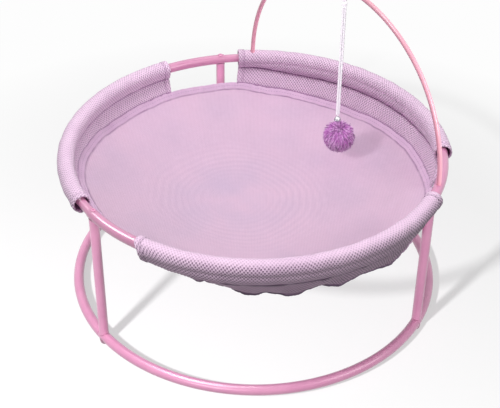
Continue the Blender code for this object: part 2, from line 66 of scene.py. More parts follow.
SWAGE_TAPER = 0.0045
SCREW_R = 0.0021
SCREW_REACH = 0.0132
TOP_HEAD = (0.0032, 0.0016, 0.0010)
FOOT_HEAD = (0.0055, 0.0036, 0.0040)
BASE_Z = FOOT_HEAD[2] + TUBE_R
TOP_Z = BASE_Z + RING_SPACING
BORE_R = TUBE_R - TUBE_WALL
PLUG_R = BORE_R - FIT_GAP

# The sling's sizes
SLEEVE_SPANS = {"back": (150.75, 53.45), "right": (28.60, -68.30), "left": (265.45, 176.25)}
SLEEVE_BORE_R = 0.0082
SLEEVE_OUTER_R = 0.0098
SLEEVE_CENTRE = (0.0013, -0.0002)
SLEEVE_EASE = 0.25
SEAM_CLOTH = 0.0028
SEAM_DROP = 0.0200
SEAM_SHARES = {"back": (0.60, 0.98, 0.70), "right": (0.95, 1.14, 0.85), "left": (0.60, 0.66, 0.60)}
SEAM_INSET = 0.0015
LEG_EASE = 1 / 6
TUCK = 0.0015
SLOT_HALF_WIDTH = LEG_R + 0.0008
FLAP_INSET = 0.0105
FLAP_DROP = 0.0440
EDGE_LINE = (
    (0, 1.00, 1.02), (8, 1.00, 1.07), (15, 1.00, 1.09), (22, 1.00, 1.05), (31, 0.95, 0.98),
    (42, 0.80, 0.93), (52, 0.76, 0.95), (61, 0.90, 0.98), (70, 1.00, 0.94), (80, 1.00, 0.94),
    (92, 1.00, 0.98), (107, 1.00, 1.02), (120, 1.00, 1.00), (129, 1.00, 0.925),
    (137, 1.00, 0.90), (143, 1.00, 0.83), (151, 1.00, 0.68), (163, 1.10, 0.67),
    (176, 1.00, 0.65), (187, 1.00, 0.68), (198, 1.00, 0.71), (207, 1.00, 0.67),
    (216, 1.00, 0.59), (222, 1.00, 0.555), (229, 1.00, 0.475), (236, 1.02, 0.41),
    (250, 1.14, 0.375), (258, 1.24, 0.365), (265, 1.29, 0.36), (272, 1.33, 0.36),
    (280, 1.33, 0.355), (290, 1.24, 0.385), (297, 1.10, 0.50), (303, 1.00, 0.635),
    (309, 1.00, 0.76), (316, 1.00, 0.80), (322, 1.00, 0.92), (332, 1.00, 0.96),
    (345, 1.00, 1.00),
)
BINDING_THICKNESS = 0.0024
BINDING_RUN = (-0.0065, -0.0060)
BOWL_CLOTH = 0.0010
BOWL_DEPTH = 0.0720
BOWL_CURVE = 2.3
FLAP_STEPS = 16
HEM_STITCHES = 0.0060
CORNER_REACH = {"back": (0.0028, 0.0028), "right": (0.0028, 0.0028), "left": (-0.0016, -0.0018)}
TAPE_FULLNESS = 0.42

# The arch's and the toy's sizes
ARCH_HALF_ANGLE = 55.75
ARCH_HEIGHT = 0.171
ROD_R = 0.00275
ARCH_FULLNESS = 2.15
ARCH_HALF_SPAN = RING_RADIUS * math.sin(math.radians(ARCH_HALF_ANGLE))
ARCH_Y = RING_RADIUS * math.cos(math.radians(ARCH_HALF_ANGLE))
APEX_Z = TOP_Z + ARCH_HEIGHT
CORD_DIAMETER = 0.0026
CORD_R = CORD_DIAMETER / 2
CORD_SPACING = 0.0030
LOOP_RADIUS = 0.0052
LOOP_WRAP = 220.0
LOOP_TAIL = 0.0030
BRAID_LAY = 0.0052
KNOT_Z = APEX_Z - 0.0210
KNOT_HALF_HEIGHT = 0.0027


# Mesh helpers

def smooth_step(value):
    """Ease from 0 to 1 as value goes from 0 to 1, and hold past both, for numbers or arrays."""
    value = np.clip(value, 0.0, 1.0)
    return value * value * (3 - 2 * value)


def normalised(vectors):
    """Vectors along the last axis, made one long."""
    return vectors / np.maximum(np.linalg.norm(vectors, axis=-1, keepdims=True), 1e-12)


def ridge(value, middle, width, power=2):
    """1 in the middle of a band, falling to 0 past its width."""
    return np.exp(-(np.abs(value - middle) / width) ** power)


def travelled(points):
    """How far along a line of points each one is."""
    return np.append(0.0, np.cumsum(np.linalg.norm(np.diff(points, axis=0), axis=1)))


def at_travel(values, travel, at):
    """Values (n, 3) of a line, read off at other distances along it."""
    return np.stack([np.interp(at, travel, values[:, k]) for k in range(3)], -1)


def raised(plan, z):
    """Plan points (n, 2) at one height or at n heights."""
    return np.column_stack((plan, np.broadcast_to(z, len(plan))))


class Skin:
    """Collects grids of points, with a flat layout in metres, into one mesh."""

    def __init__(self):
        self.points = []
        self.faces = []
        self.layout = []
        self.shades = []
        self.count = 0

    def grid(self, points, layout=None, wrap_a=False, wrap_b=False, shade=0.0):
        """Add a grid of points (a, b, 3), closed along either way or neither."""
        points = np.asarray(points, dtype=float)
        a, b = points.shape[:2]
        last_a = a if wrap_a else a - 1
        last_b = b if wrap_b else b - 1
        if layout is None:
            layout = np.zeros((last_a + 1, last_b + 1, 2))
        i, j = (part.ravel() for part in np.mgrid[:last_a, :last_b])
        corners = ((i, j), (i, j + 1), (i + 1, j + 1), (i + 1, j))
        self.faces.append(np.stack([(p % a) * b + q % b for p, q in corners], 1) + self.count)
        self.layout.append(np.stack([layout[p, q] for p, q in corners], 1).reshape(-1, 2))
        self.points.append(points.reshape(-1, 3))
        self.shades.append(np.broadcast_to(shade, (a, b)).ravel())
        self.count += a * b

    def cap(self, ring, middle=None):
        """Close a ring of points (n, 3) with a fan."""
        middle = ring.mean(0) if middle is None else middle
        self.grid(np.stack((np.broadcast_to(middle, ring.shape), ring)), wrap_b=True)

    def prism(self, levels):
        """Add the wall through rings of points, with both ends closed."""
        self.grid(np.stack(levels), wrap_b=True)
        for ring in (levels[0], levels[-1]):
            self.cap(ring)

    def tube(self, path, radius, sides, first_side=(0.0, 1.0, 0.0)):
        """Add a tube along a path, with both ends closed."""
        self.prism(tube_points(path, radius, sides, first_side))

    def mesh(self, name, merge=1e-6):
        """The closed and welded mesh, with faces that point out."""
        made = bpy.data.meshes.new(name)
        faces = np.concatenate(self.faces)
        made.from_pydata(np.concatenate(self.points).tolist(), [], faces.tolist())
        uv = made.uv_layers.new(name="cloth")
        uv.data.foreach_set("uv", np.concatenate(self.layout).ravel())
        tone = made.attributes.new("tone", "FLOAT", "POINT")
        tone.data.foreach_set("value", np.concatenate(self.shades))
        bm = bmesh.new()
        bm.from_mesh(made)
        bmesh.ops.remove_doubles(bm, verts=bm.verts, dist=merge)
        bmesh.ops.dissolve_degenerate(bm, edges=bm.edges, dist=merge)
        bmesh.ops.recalc_face_normals(bm, faces=bm.faces)
        bm.to_mesh(made)
        bm.free()
        made.shade_smooth()
        return made


def add_object(name, data):
    made = bpy.data.objects.new(name, data)
    bpy.context.scene.collection.objects.link(made)
    return made


def dress(mesh, finish):
    """Give a mesh one material."""
    mesh.materials.clear()
    mesh.materials.append(finish)


def piece(mesh, finish, body, nodes=(), sharp=None):
    """A finished piece: its material, its body and the nodes that it stands for."""
    dress(mesh, finish)
    if sharp:
        mesh.set_sharp_from_angle(angle=math.radians(sharp))
    made = add_object(mesh.name, mesh)
    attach(made, body)
    if nodes:
        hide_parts(*nodes)
    return made


def carve(mesh, cutters):
    """The mesh less the cutters' meshes."""
    name = mesh.name
    target = add_object(name, mesh)
    helpers = [add_object(cutter.name, cutter) for cutter in cutters]
    for helper in helpers:
        step = target.modifiers.new(helper.name, "BOOLEAN")
        step.operation = "DIFFERENCE"
        step.solver = "EXACT"
        step.object = helper
    bpy.context.view_layer.update()
    graph = bpy.context.evaluated_depsgraph_get()
    carved = bpy.data.meshes.new_from_object(target.evaluated_get(graph), depsgraph=graph)
    for made in helpers + [target]:
        bpy.data.objects.remove(made, do_unlink=True)
    for used in [mesh, *cutters]:
        bpy.data.meshes.remove(used)
    carved.name = name
    return carved


def circle(radius, sides, phase=0.0):
    """Points (sides, 2) of a circle."""
    turn = (np.arange(sides) + phase) * 2 * math.pi / sides
    return radius * np.stack((np.cos(turn), np.sin(turn)), -1)


def on_ring(azimuth, outward, height):
    """Points beside a ring's centreline, for numbers or arrays in degrees and metres."""
    angle = np.radians(azimuth)
    radius = RING_RADIUS + np.asarray(outward)
    return np.stack(np.broadcast_arrays(radius * np.cos(angle), radius * np.sin(angle), height), -1)


def beside_top_ring(azimuths, places):
    """Points for places (..., 2) that are measured outward and up from the top ring."""
    return on_ring(azimuths, places[..., 0], TOP_Z + places[..., 1])


def degrees_for(length):
    """The azimuth that a length along a ring's centreline takes up."""
    return math.degrees(length / RING_RADIUS)


def tube_points(path, radius, sides, first_side):
    """A grid round a path, turned as little as can be; radius may differ by point and side."""
    path = np.asarray(path, dtype=float)
    tangents = normalised(np.gradient(path, axis=0))
    side = np.asarray(first_side, dtype=float)
    across = []
    for tangent in tangents:
        side = side - tangent * side.dot(tangent)
        side /= np.linalg.norm(side)
        across.append(side)
    across = np.array(across)
    up = np.cross(tangents, across)
    turn = np.arange(sides) * 2 * math.pi / sides
    radius = np.broadcast_to(np.asarray(radius, dtype=float), (len(path), sides))
    ring = np.cos(turn)[None, :, None] * across[:, None] + np.sin(turn)[None, :, None] * up[:, None]
    return path[:, None] + ring * radius[..., None]


# Node helpers

class Graph:
    """The nodes of a material or of the world, made with short calls."""

    def __init__(self, name, kind="materials", base="Principled BSDF"):
        self.owner = getattr(bpy.data, kind).new(name)
        self.owner.use_nodes = True
        self.tree = self.owner.node_tree
        self.shader = self.tree.nodes[base]

    def node(self, kind, **settings):
        made = self.tree.nodes.new(kind)
        for key, value in settings.items():
            setattr(made, key, value)
        return made

    def put(self, socket, value):
        """Link a socket or set a constant on an input."""
        if isinstance(value, bpy.types.NodeSocket):
            self.tree.links.new(value, socket)
        else:
            socket.default_value = value

    def fill(self, node, *values):
        """Put values on a node's first inputs."""
        for socket, value in zip(node.inputs, values):
            self.put(socket, value)
        return node.outputs[0]

    def set(self, node, **values):
        """Put values on a node's named inputs, with _ for a space."""
        for name, value in values.items():
            self.put(node.inputs[name.replace("_", " ")], value)
        return node.outputs[0]

    def math(self, operation, *values):
        return self.fill(self.node("ShaderNodeMath", operation=operation), *values)

    def times(self, first, second):
        return self.math("MULTIPLY", first, second)

    def plus(self, first, second):
        return self.math("ADD", first, second)

    def mix(self, factor, first, second):
        """Mix two colours."""
        made = self.node("ShaderNodeMix", data_type="RGBA")
        self.put(made.inputs[0], factor)
        for socket, value in zip((made.inputs[6], made.inputs[7]), (first, second)):
            self.put(socket, (*value, 1.0) if isinstance(value, tuple) else value)
        return made.outputs[2]

    def layers(self, colour, *coats):
        """A colour with others laid over it, each by its factor."""
        for factor, over in coats:
            colour = self.mix(factor, colour, over)
        return colour

    def noise(self, place, scale, detail=2.0, roughness=0.5):
        made = self.node("ShaderNodeTexNoise")
        return self.set(made, Vector=place, Scale=scale, Detail=detail, Roughness=roughness)

    def span(self, value, low, high, to_low=0.0, to_high=1.0):
        """Map low..high to to_low..to_high, held at both ends."""
        return self.fill(self.node("ShaderNodeMapRange", clamp=True), value, low, high, to_low, to_high)

    def split(self, vector):
        made = self.node("ShaderNodeSeparateXYZ")
        self.put(made.inputs[0], vector)
        return made.outputs

    def place(self, kind="Object"):
        return self.node("ShaderNodeTexCoord").outputs[kind]

    def flat(self):
        """The cloth's own flat layout, in metres."""
        return self.node("ShaderNodeUVMap", uv_map="cloth").outputs[0]

    def tone(self):
        return self.node("ShaderNodeAttribute", attribute_name="tone").outputs["Fac"]

    def wave(self, value, pitch):
        """A cosine of a length, once a pitch."""
        return self.math("COSINE", self.times(value, 2 * math.pi / pitch))

    def bump(self, height, distance, strength):
        made = self.node("ShaderNodeBump")
        bent = self.set(made, Strength=strength, Distance=distance, Height=height)
        self.put(self.shader.inputs["Normal"], bent)

    def seen_directly(self):
        """1 for camera rays and for rays that a gloss or glass shows, else 0."""
        path = self.node("ShaderNodeLightPath").outputs
        glossy = self.math("MAXIMUM", path["Is Camera Ray"], path["Is Glossy Ray"])
        return self.math("MAXIMUM", glossy, path["Is Transmission Ray"])

    def blend(self, output, factor, second):
        """Show the first shader and, by the factor, a second one."""
        mixed = self.node("ShaderNodeMixShader")
        surface = self.fill(mixed, factor, self.shader.outputs[0], second)
        self.put(self.tree.nodes[output].inputs["Surface"], surface)

    def finish(self, colour, roughness, **constants):
        self.set(self.shader, Base_Color=colour, Roughness=roughness, **constants)
        return self.owner

    def finish_cloth(self, colour, roughness, sheen, spread, specular):
        return self.finish(colour, roughness, Sheen_Weight=sheen, Sheen_Roughness=spread,
                           Specular_IOR_Level=specular)


def srgb(red, green, blue):
    """A colour from 0..255 display values, as the shader takes it."""
    def linear(value):
        value /= 255
        return value / 12.92 if value <= 0.04045 else ((value + 0.055) / 1.055) ** 2.4
    return linear(red), linear(green), linear(blue)


# Materials

def powder_coat(name, light, dark, wear_and_shade, spots):
    """Satin powder coat: fine orange peel, faint clouding, and paler worn spots."""
    g = Graph(name)
    place = g.place()
    clouds = g.noise(place, 38.0, 3.0)
    peel = g.noise(place, 1900.0, 2.0, 0.6)
    wear = g.times(g.span(g.noise(place, 520.0, 4.0, 0.7), 0.66, 0.74), spots)
    colour = g.layers(light, (g.span(clouds, 0.35, 0.65), dark), (wear, wear_and_shade))
    rough = g.plus(g.span(clouds, 0.3, 0.7, 0.30, 0.38), g.times(wear, 0.3))
    g.bump(g.plus(g.times(peel, 0.6), g.times(clouds, 0.4)), 0.00004, 0.2)
    return g.finish(colour, rough, Coat_Weight=0.6, Coat_Roughness=0.22, Specular_IOR_Level=0.6)


def thick_mesh(name, light, dark, depth, painted_shade_colour, least):
    """Spacer mesh: rows of small holes between plump ribs, over a darker back cloth.

    depth is how dark the holes are, which is the back cloth and painted shade in the holes, and least the
    share of it on cloth that faces up, which paints light on the tops.
    """
    g = Graph(name)
    flat = g.flat()
    along, across, _ = g.split(flat)
    drift = g.math("SUBTRACT", g.noise(flat, 55.0, 1.0), 0.5)
    along = g.plus(along, g.times(drift, 0.0007))
    lattice = g.times(g.wave(along, WEAVE_ALONG), g.wave(across, WEAVE_ACROSS))
    # Painted light: the holes fade on cloth that faces up, so the tops of the sleeves render lighter.
    _, _, up = g.split(g.place("Normal"))
    holes = g.times(g.span(lattice, 0.02, 0.46), g.span(up, 0.55, 0.90, 1.0, least))
    fibres = g.noise(flat, 2600.0, 3.0, 0.65)
    clouds = g.noise(flat, 26.0, 2.0)
    # Painted shade: the holes' dark colour, and the creases, cut edges and hem lines that the tone attribute
    # marks.
    colour = g.layers(light, (g.span(clouds, 0.3, 0.7), dark),
                      (g.span(fibres, 0.35, 0.7, 0.0, 0.35), srgb(252, 232, 248)),
                      (g.times(holes, depth), srgb(118, 76, 118)),
                      (g.times(g.tone(), 0.9), painted_shade_colour))
    g.bump(g.math("SUBTRACT", g.times(fibres, 0.16), holes), 0.0008, 0.9)
    return g.finish_cloth(colour, g.span(fibres, 0.3, 0.7, 0.78, 0.95), 0.35, 0.45, 0.25)


def fine_mesh(name, turn):
    """Fine woven mesh: two sets of thin threads, and broad faint rings of light and dark."""
    g = Graph(name)
    place = g.place()
    x, y, _ = g.split(place)
    warp = g.math("MULTIPLY_ADD", x, math.cos(turn), g.times(y, math.sin(turn)))
    weft = g.math("MULTIPLY_ADD", x, -math.sin(turn), g.times(y, math.cos(turn)))
    threads = ((warp, THREAD_PITCH), (weft, THREAD_PITCH * 0.82))
    gaps = g.times(*(g.span(g.wave(way, pitch), -1.0, 0.1, 1.0, 0.0) for way, pitch in threads))
    plait = g.times(*(g.wave(way, pitch * 2) for way, pitch in threads))
    fibres = g.noise(place, 2200.0, 2.0, 0.6)
    clouds = g.noise(place, 14.0, 2.0)
    slubs = g.noise(place, 160.0, 1.0)
    aside = (g.math("POWER", g.plus(way, shift), 2.0) for way, shift in ((x, 0.010), (y, 0.018)))
    centre = g.math("MULTIPLY_ADD", g.noise(place, 22.0, 1.0), 0.012, g.math("SQRT", g.plus(*aside)))
    fade = g.times(g.span(centre, 0.02, 0.07), g.span(centre, 0.085, 0.13, 1.0, 0.0))
    rings = g.times(g.wave(centre, 0.0080), fade)
    cool = g.times(g.span(centre, 0.03, 0.10, 1.0, 0.0), g.span(clouds, 0.3, 0.6))
    # Painted shade: a dark line where the bowl goes under the tape, which the tone attribute marks, uneven in
    # strength.
    wear_and_shade = g.span(g.noise(place, 60.0, 2.0), 0.3, 0.7, 0.35, 0.8)
    colour = g.layers(srgb(226, 193, 216), (g.span(clouds, 0.35, 0.65), srgb(217, 188, 212)),
                      (g.span(slubs, 0.4, 0.75, 0.0, 0.25), srgb(232, 204, 226)),
                      (g.times(gaps, 0.7), srgb(158, 122, 160)),
                      (g.span(rings, -1.0, 1.0, 0.0, 0.17), srgb(184, 150, 184)),
                      (g.times(cool, 0.5), srgb(200, 180, 208)),
                      (g.times(g.tone(), wear_and_shade), srgb(140, 96, 140)))
    height = g.plus(g.times(plait, 0.25), g.times(gaps, -0.8))
    g.bump(g.math("MULTIPLY_ADD", fibres, 0.2, height), 0.00035, 0.8)
    return g.finish_cloth(colour, 0.86, 0.25, 0.5, 0.25)


def tape(name):
    """Folded tape with a fine twill."""
    g = Graph(name)
    flat = g.flat()
    along, across, _ = g.split(flat)
    twill = g.wave(g.plus(along, across), 0.0010)
    fibres = g.noise(flat, 2400.0, 3.0, 0.65)
    clouds = g.noise(flat, 45.0, 2.0)
    # The tone attribute paints shadow on the tape, near black.
    colour = g.layers(srgb(234, 199, 228), (g.span(clouds, 0.3, 0.7), srgb(224, 188, 220)),
                      (g.span(twill, 0.0, 1.0, 0.0, 0.35), srgb(176, 132, 176)),
                      (g.span(fibres, 0.4, 0.75, 0.0, 0.3), srgb(240, 212, 236)),
                      (g.times(g.tone(), 0.95), srgb(88, 68, 96)))
    g.bump(g.plus(g.times(twill, -0.5), g.times(fibres, 0.3)), 0.0003, 0.7)
    return g.finish_cloth(colour, 0.84, 0.3, 0.45, 0.25)


def thread(name, light, dark):
    """Sewing thread and cord: twisted fibres with a soft sheen."""
    g = Graph(name)
    place = g.place()
    fibres = g.noise(place, 3200.0, 3.0, 0.6)
    clouds = g.noise(place, 420.0, 2.0)
    colour = g.layers(dark, (g.span(fibres, 0.35, 0.7), light),
                      (g.span(clouds, 0.45, 0.8, 0.0, 0.35), dark))
    g.bump(fibres, 0.00015, 0.8)
    return g.finish_cloth(colour, 0.62, 0.3, 0.4, 0.35)


def yarn(name):
    """Cut yarn: dark towards the roots, pale and fluffy at the tips."""
    g = Graph(name)
    place = g.place()
    fibres = g.noise(place, 2600.0, 3.0, 0.65)
    clumps = g.noise(place, 240.0, 2.0)
    # Painted shade and light: the tone runs from dark at the roots to pale at the tips, as shade between the
    # strands and light on their tips.
    depth = g.tone()
    colour = g.layers(srgb(100, 32, 106), (g.span(depth, 0.0, 0.72), srgb(192, 108, 190)),
                      (g.span(depth, 0.72, 1.0), srgb(238, 206, 240)),
                      (g.span(clumps, 0.42, 0.66, 0.0, 0.4), srgb(198, 116, 198)),
                      (g.span(fibres, 0.45, 0.75, 0.0, 0.25), srgb(230, 180, 228)))
    return g.finish_cloth(colour, 0.92, 0.5, 0.5, 0.2)


def plated(name, colour, low, high):
    """Plated metal with fine scratches."""
    g = Graph(name)
    place = g.place()
    marks = g.noise(place, 900.0, 4.0, 0.7)
    tarnish = g.noise(place, 260.0, 2.0)
    dulled = tuple(0.72 * part for part in colour)
    # The tone attribute paints shade: near black on the bell's inner face.
    mixed = g.layers(colour, (g.span(tarnish, 0.5, 0.8, 0.0, 0.5), dulled),
                     (g.tone(), (0.02, 0.02, 0.025)))
    g.bump(marks, 0.00004, 0.5)
    return g.finish(mixed, g.span(marks, 0.3, 0.7, low, high), Metallic=1.0)


WEAVE_ALONG = 0.0036
WEAVE_ACROSS = 0.0046
THREAD_PITCH = 0.0017

PINK = powder_coat("pink_powder_coat", srgb(226, 152, 190), srgb(219, 143, 183), srgb(240, 190, 212), 0.30)
ROD_PINK = powder_coat("pink_rod_coat", srgb(243, 172, 190), srgb(236, 162, 182), srgb(247, 202, 212), 0.06)
# Lit and shaded copies of one spacer mesh: the front sleeve's copy is painted in shade, with darker yarn,
# darker holes and a darker crease colour, and its holes fade more on top as painted light.
SPACER = {"right": thick_mesh("lilac_spacer_mesh_front", srgb(236, 203, 230), srgb(226, 192, 221),
                              0.80, srgb(66, 44, 76), 0.35)}
SPACER["back"] = SPACER["left"] = thick_mesh("lilac_spacer_mesh", srgb(241, 208, 235),
                                             srgb(233, 199, 228), 0.60, srgb(140, 68, 142), 0.70)
NET = fine_mesh("lilac_fine_mesh", math.radians(54.5))
TAPE = tape("lilac_tape")
SEWING = thread("lilac_thread", srgb(206, 168, 204), srgb(150, 108, 150))
CORD = thread("white_cord", srgb(255, 254, 255), srgb(224, 218, 228))
YARN = yarn("purple_yarn")
SILVER = plated("bell_silver", (0.66, 0.66, 0.69), 0.12, 0.24)
ZINC = plated("zinc_insert", (0.60, 0.60, 0.62), 0.28, 0.42)


# Camera, lights and floor

def build_camera():
    data = bpy.data.cameras.new("photo_camera")
    data.sensor_width = 36.0
    data.lens = 82.67853546
    made = add_object("photo_camera", data)
    made.location = (0.8990557790, -0.6418021917, 0.9126760960)
    made.rotation_mode = "QUATERNION"
    made.rotation_quaternion = Quaternion((0.7899557948, 0.4026472867, 0.2059530765, 0.4140390456))
    bpy.context.scene.camera = made


LAMPS_FACE_Z = 0.12


def lamp(name, azimuth, elevation, distance, size, power, receivers, blockers):
    """A soft round lamp that lights some objects and is held back by some."""
    data = bpy.data.lights.new(name, "AREA")
    data.shape = "DISK"
    data.size = size
    data.energy = power
    made = add_object(name, data)
    turn, rise = math.radians(azimuth), math.radians(elevation)
    away = Vector((math.cos(turn) * math.cos(rise), math.sin(turn) * math.cos(rise), math.sin(rise)))
    made.location = away * distance + Vector((0.0, 0.0, LAMPS_FACE_Z))
    made.rotation_mode = "QUATERNION"
    made.rotation_quaternion = away.to_track_quat("Z", "Y")
    for label, objects in (("receiver", receivers), ("blocker", blockers)):
        linked = bpy.data.collections.new(f"{name}_{label}")
        for other in objects:
            linked.objects.link(other)
        setattr(made.light_linking, f"{label}_collection", linked)
    return made


def build_floor(share_of_white):
    """A wide pale floor that keeps soft shadows, and is plain white far out."""
    mesh = bpy.data.meshes.new("floor")
    reach = 6.0
    mesh.from_pydata([(-reach, -reach, 0), (reach, -reach, 0), (reach, reach, 0), (-reach, reach, 0)],
                     [], [(0, 1, 2, 3)])
    g = Graph("pale_floor")
    direct = g.seen_directly()
    g.finish(g.mix(direct, (0.28, 0.28, 0.28), (0.93, 0.93, 0.93)), 0.9, Specular_IOR_Level=0.0)
    glow = g.set(g.node("ShaderNodeEmission"), Color=(0.988, 0.988, 0.988, 1.0))
    away = g.node("ShaderNodeVectorMath", operation="LENGTH")
    g.put(away.inputs[0], g.place())
    share = g.span(away.outputs["Value"], 0.34, 0.62, share_of_white, 0.985)
    g.blend("Material Output", g.times(direct, share), glow)
    dress(mesh, g.owner)
    floor = add_object("floor", mesh)
    return floor


def build_world(ambient):
    g = Graph("studio", "worlds", "Background")
    bpy.context.scene.world = g.owner
    white = (1.0, 1.0, 1.0, 1.0)
    g.set(g.shader, Color=white, Strength=ambient)
    shown = g.set(g.node("ShaderNodeBackground"), Color=white, Strength=1.0)
    g.blend("World Output", g.seen_directly(), shown)


def light_scene(floor):
    """Soft lamps, each for the pieces that it has to light; the streak lamps give gloss alone."""
    bed = [o for o in bpy.context.scene.objects
           if o.type in ("MESH", "CURVE") and not o.hide_render and o != floor]

    def of_material(*finishes):
        return [o for o in bed if o.active_material in finishes]

    def without(*groups):
        return [o for o in bed if not any(o in group for group in groups)]

    tubes = of_material(PINK, ROD_PINK)
    top_rings, base_rings, posts = ([o for o in tubes if part in o.name]
                                    for part in ("top_ring", "base_ring", "leg"))
    sleeve_left = [o for o in bed if "sleeve_left" in o.name]
    legs = posts + base_rings
    arch = of_material(ROD_PINK)
    toy = of_material(YARN, SILVER, CORD)
    bowl = of_material(NET)
    front_sleeve = of_material(SPACER["right"])
    solid = without(toy, arch)
    rest = without(bowl, arch, top_rings, front_sleeve)
    # Azimuth, elevation, distance, size and power, then what it lights and what holds it back
    plan = (
        ("front", -100.0, 70.0, 2.6, 1.0, 26.0, bed, solid),
        ("top", -100.0, 70.0, 2.6, 1.0, 20.0, rest, solid),
        ("above", 150.0, 70.0, 2.5, 1.5, 9.0, bed, solid),
        ("sleeve_above", 165.0, 50.0, 2.5, 1.5, 5.0, front_sleeve, solid),
        ("sleeve_front", -40.0, 64.0, 2.4, 0.8, 27.0, front_sleeve, solid),
        ("right", 25.0, 35.0, 2.6, 1.5, 21.0, without(front_sleeve), solid),
        ("left_inside", 30.0, 35.0, 2.6, 1.0, 9.0, sleeve_left, solid),
        ("low", -88.0, 36.5, 2.2, 0.40, 15.0, bowl, toy),
        ("arch_light", 12.0, 24.0, 0.66, 0.3, 1.6, arch, [floor]),
        ("tube_fill", -58.0, 26.0, 2.4, 1.0, 18.0, legs, legs),
        ("leg_fill", -58.0, 26.0, 2.4, 1.0, 12.0, posts, legs),
        ("streak", 216.0, 54.0, 2.48, 1.10, 45.0, top_rings, [floor]),
        ("base_streak", 188.0, 74.0, 2.26, 1.00, 25.0, base_rings, [floor]),
        ("ring_fill", -60.0, 40.0, 2.4, 1.5, 7.0, top_rings, [floor]),
        ("toy_fill", -70.0, 48.0, 1.6, 0.5, 5.0, of_material(YARN, CORD), toy),
        ("cord_fill", -50.0, 30.0, 1.6, 0.8, 13.0, of_material(CORD), toy),
        ("floor_light", -68.5, 36.0, 2.01, 0.15, 52.0, [floor], tubes),
    )
    for row in plan:
        lamp(*row).visible_diffuse = "streak" not in row[0]


build_camera()
FLOOR = build_floor(0.55)
build_world(0.25)
bpy.context.scene.view_settings.view_transform = "Standard"


# Frame

def arc(start, end, radius, step=1.5):
    """Stations (azimuth, tube radius) from start to end along the ring."""
    steps = max(1, math.ceil(abs(start - end) / step))
    return [(start + (end - start) * i / steps, radius) for i in range(steps + 1)]


def ring_mesh(name, start_leg, end_leg, height, swage_shown):
    """One hollow length of a ring with its swaged plug and its rolled socket rim."""
    sides = 40
    end_azimuth = LEG_AZIMUTHS[end_leg]
    start_azimuth = LEG_AZIMUTHS[start_leg]
    if start_azimuth < end_azimuth:
        start_azimuth += 360.0
    past = degrees_for(SOCKET_PAST_LEG)
    rim = start_azimuth - past
    tip = rim + degrees_for(PLUG_DEPTH)
    shoulder = rim - degrees_for(max(swage_shown, FIT_GAP))
    full = shoulder - degrees_for(SWAGE_TAPER if swage_shown else 0.0)
    mouth = end_azimuth - past
    wall = degrees_for(0.0 if swage_shown else TUBE_WALL)
    outer = arc(tip, shoulder, PLUG_R)
    if swage_shown:
        for i in range(1, 7):
            share = i / 7
            eased = float(smooth_step(share))
            outer.append((shoulder + (full - shoulder) * share, PLUG_R + (TUBE_R - PLUG_R) * eased))
    lip = 0.00022
    outer += arc(full, mouth + degrees_for(lip), TUBE_R)
    outer += [(mouth + degrees_for(lip * 0.3), TUBE_R - lip * 0.3), (mouth, TUBE_R - lip)]
    inner = arc(tip, shoulder - wall, PLUG_R - TUBE_WALL, 4.0)
    inner += arc(full - max(wall, degrees_for(TUBE_WALL)), mouth, BORE_R, 4.0)
    stations = np.array(outer + inner[::-1])
    spots = circle(1.0, sides, 0.5)
    grid = on_ring(stations[:, :1], stations[:, 1:] * spots[None, :, 0],
                   height + stations[:, 1:] * spots[None, :, 1])
    skin = Skin()
    skin.grid(grid, wrap_a=True, wrap_b=True)
    return skin.mesh(name)


def foot_hole(name, sign, sides=48):
    """A round cutter upwards from the top ring's middle, where a foot of the arch stands."""
    ring = circle(ROD_R + FIT_GAP, sides) + (sign * ARCH_HALF_SPAN, ARCH_Y)
    skin = Skin()
    skin.prism([raised(ring, z) for z in (TOP_Z, TOP_Z + 0.02)])
    return skin.mesh(name)


def build_rings():
    runs = (("back", "left", "right"), ("right", "right", "front"), ("left", "front", "left"))
    for label, height, shown in (("top", TOP_Z, SWAGE_SHOWN), ("base", BASE_Z, 0.0)):
        for side, start_leg, end_leg in runs:
            node = f"{label}_ring_{side}"
            mesh = ring_mesh(f"smooth_{node}", start_leg, end_leg, height, shown)
            if node == "top_ring_back":
                mesh = carve(mesh, [foot_hole(f"hole_{sign}", sign) for sign in (-1, 1)])
            piece(mesh, PINK, "frame", (node,), sharp=40)


def saddle(spots):
    """How far above or below a ring's axis something on its tube is, at plan points."""
    offset = np.hypot(spots[..., 0], spots[..., 1]) - RING_RADIUS
    return np.sqrt(np.maximum((TUBE_R + COPE_GAP) ** 2 - offset ** 2, 0.0))


def build_legs():
    """Legs that are coped onto both rings, with a little bead of paint at each joint."""
    sides = 48
    for leg, azimuth in LEG_AZIMUTHS.items():
        centre = on_ring(azimuth, 0.0, 0.0)[:2]
        rows = []
        for radius, order in ((LEG_R, 1), (LEG_R - TUBE_WALL, -1)):
            plan = circle(radius, sides) + centre
            lift = saddle(plan)
            low = BASE_Z + lift
            high = TOP_Z - lift
            levels = [low + (high - low) * share for share in np.linspace(0, 1, 9)]
            flare = 0.00028
            for i, level in list(enumerate(levels))[::order]:
                ring = plan
                if order > 0 and i in (0, len(levels) - 1):
                    ring = circle(radius + flare, sides) + centre
                rows.append(np.column_stack((ring, level)))
                if order > 0 and i in (0, len(levels) - 2):
                    near = levels[0] + 0.0009 if i == 0 else levels[-1] - 0.0009
                    rows.append(np.column_stack((plan, near)))
        skin = Skin()
        skin.grid(np.stack(rows), wrap_a=True, wrap_b=True)
        piece(skin.mesh(f"smooth_leg_{leg}"), PINK, "frame", (f"leg_{leg}",), sharp=50)


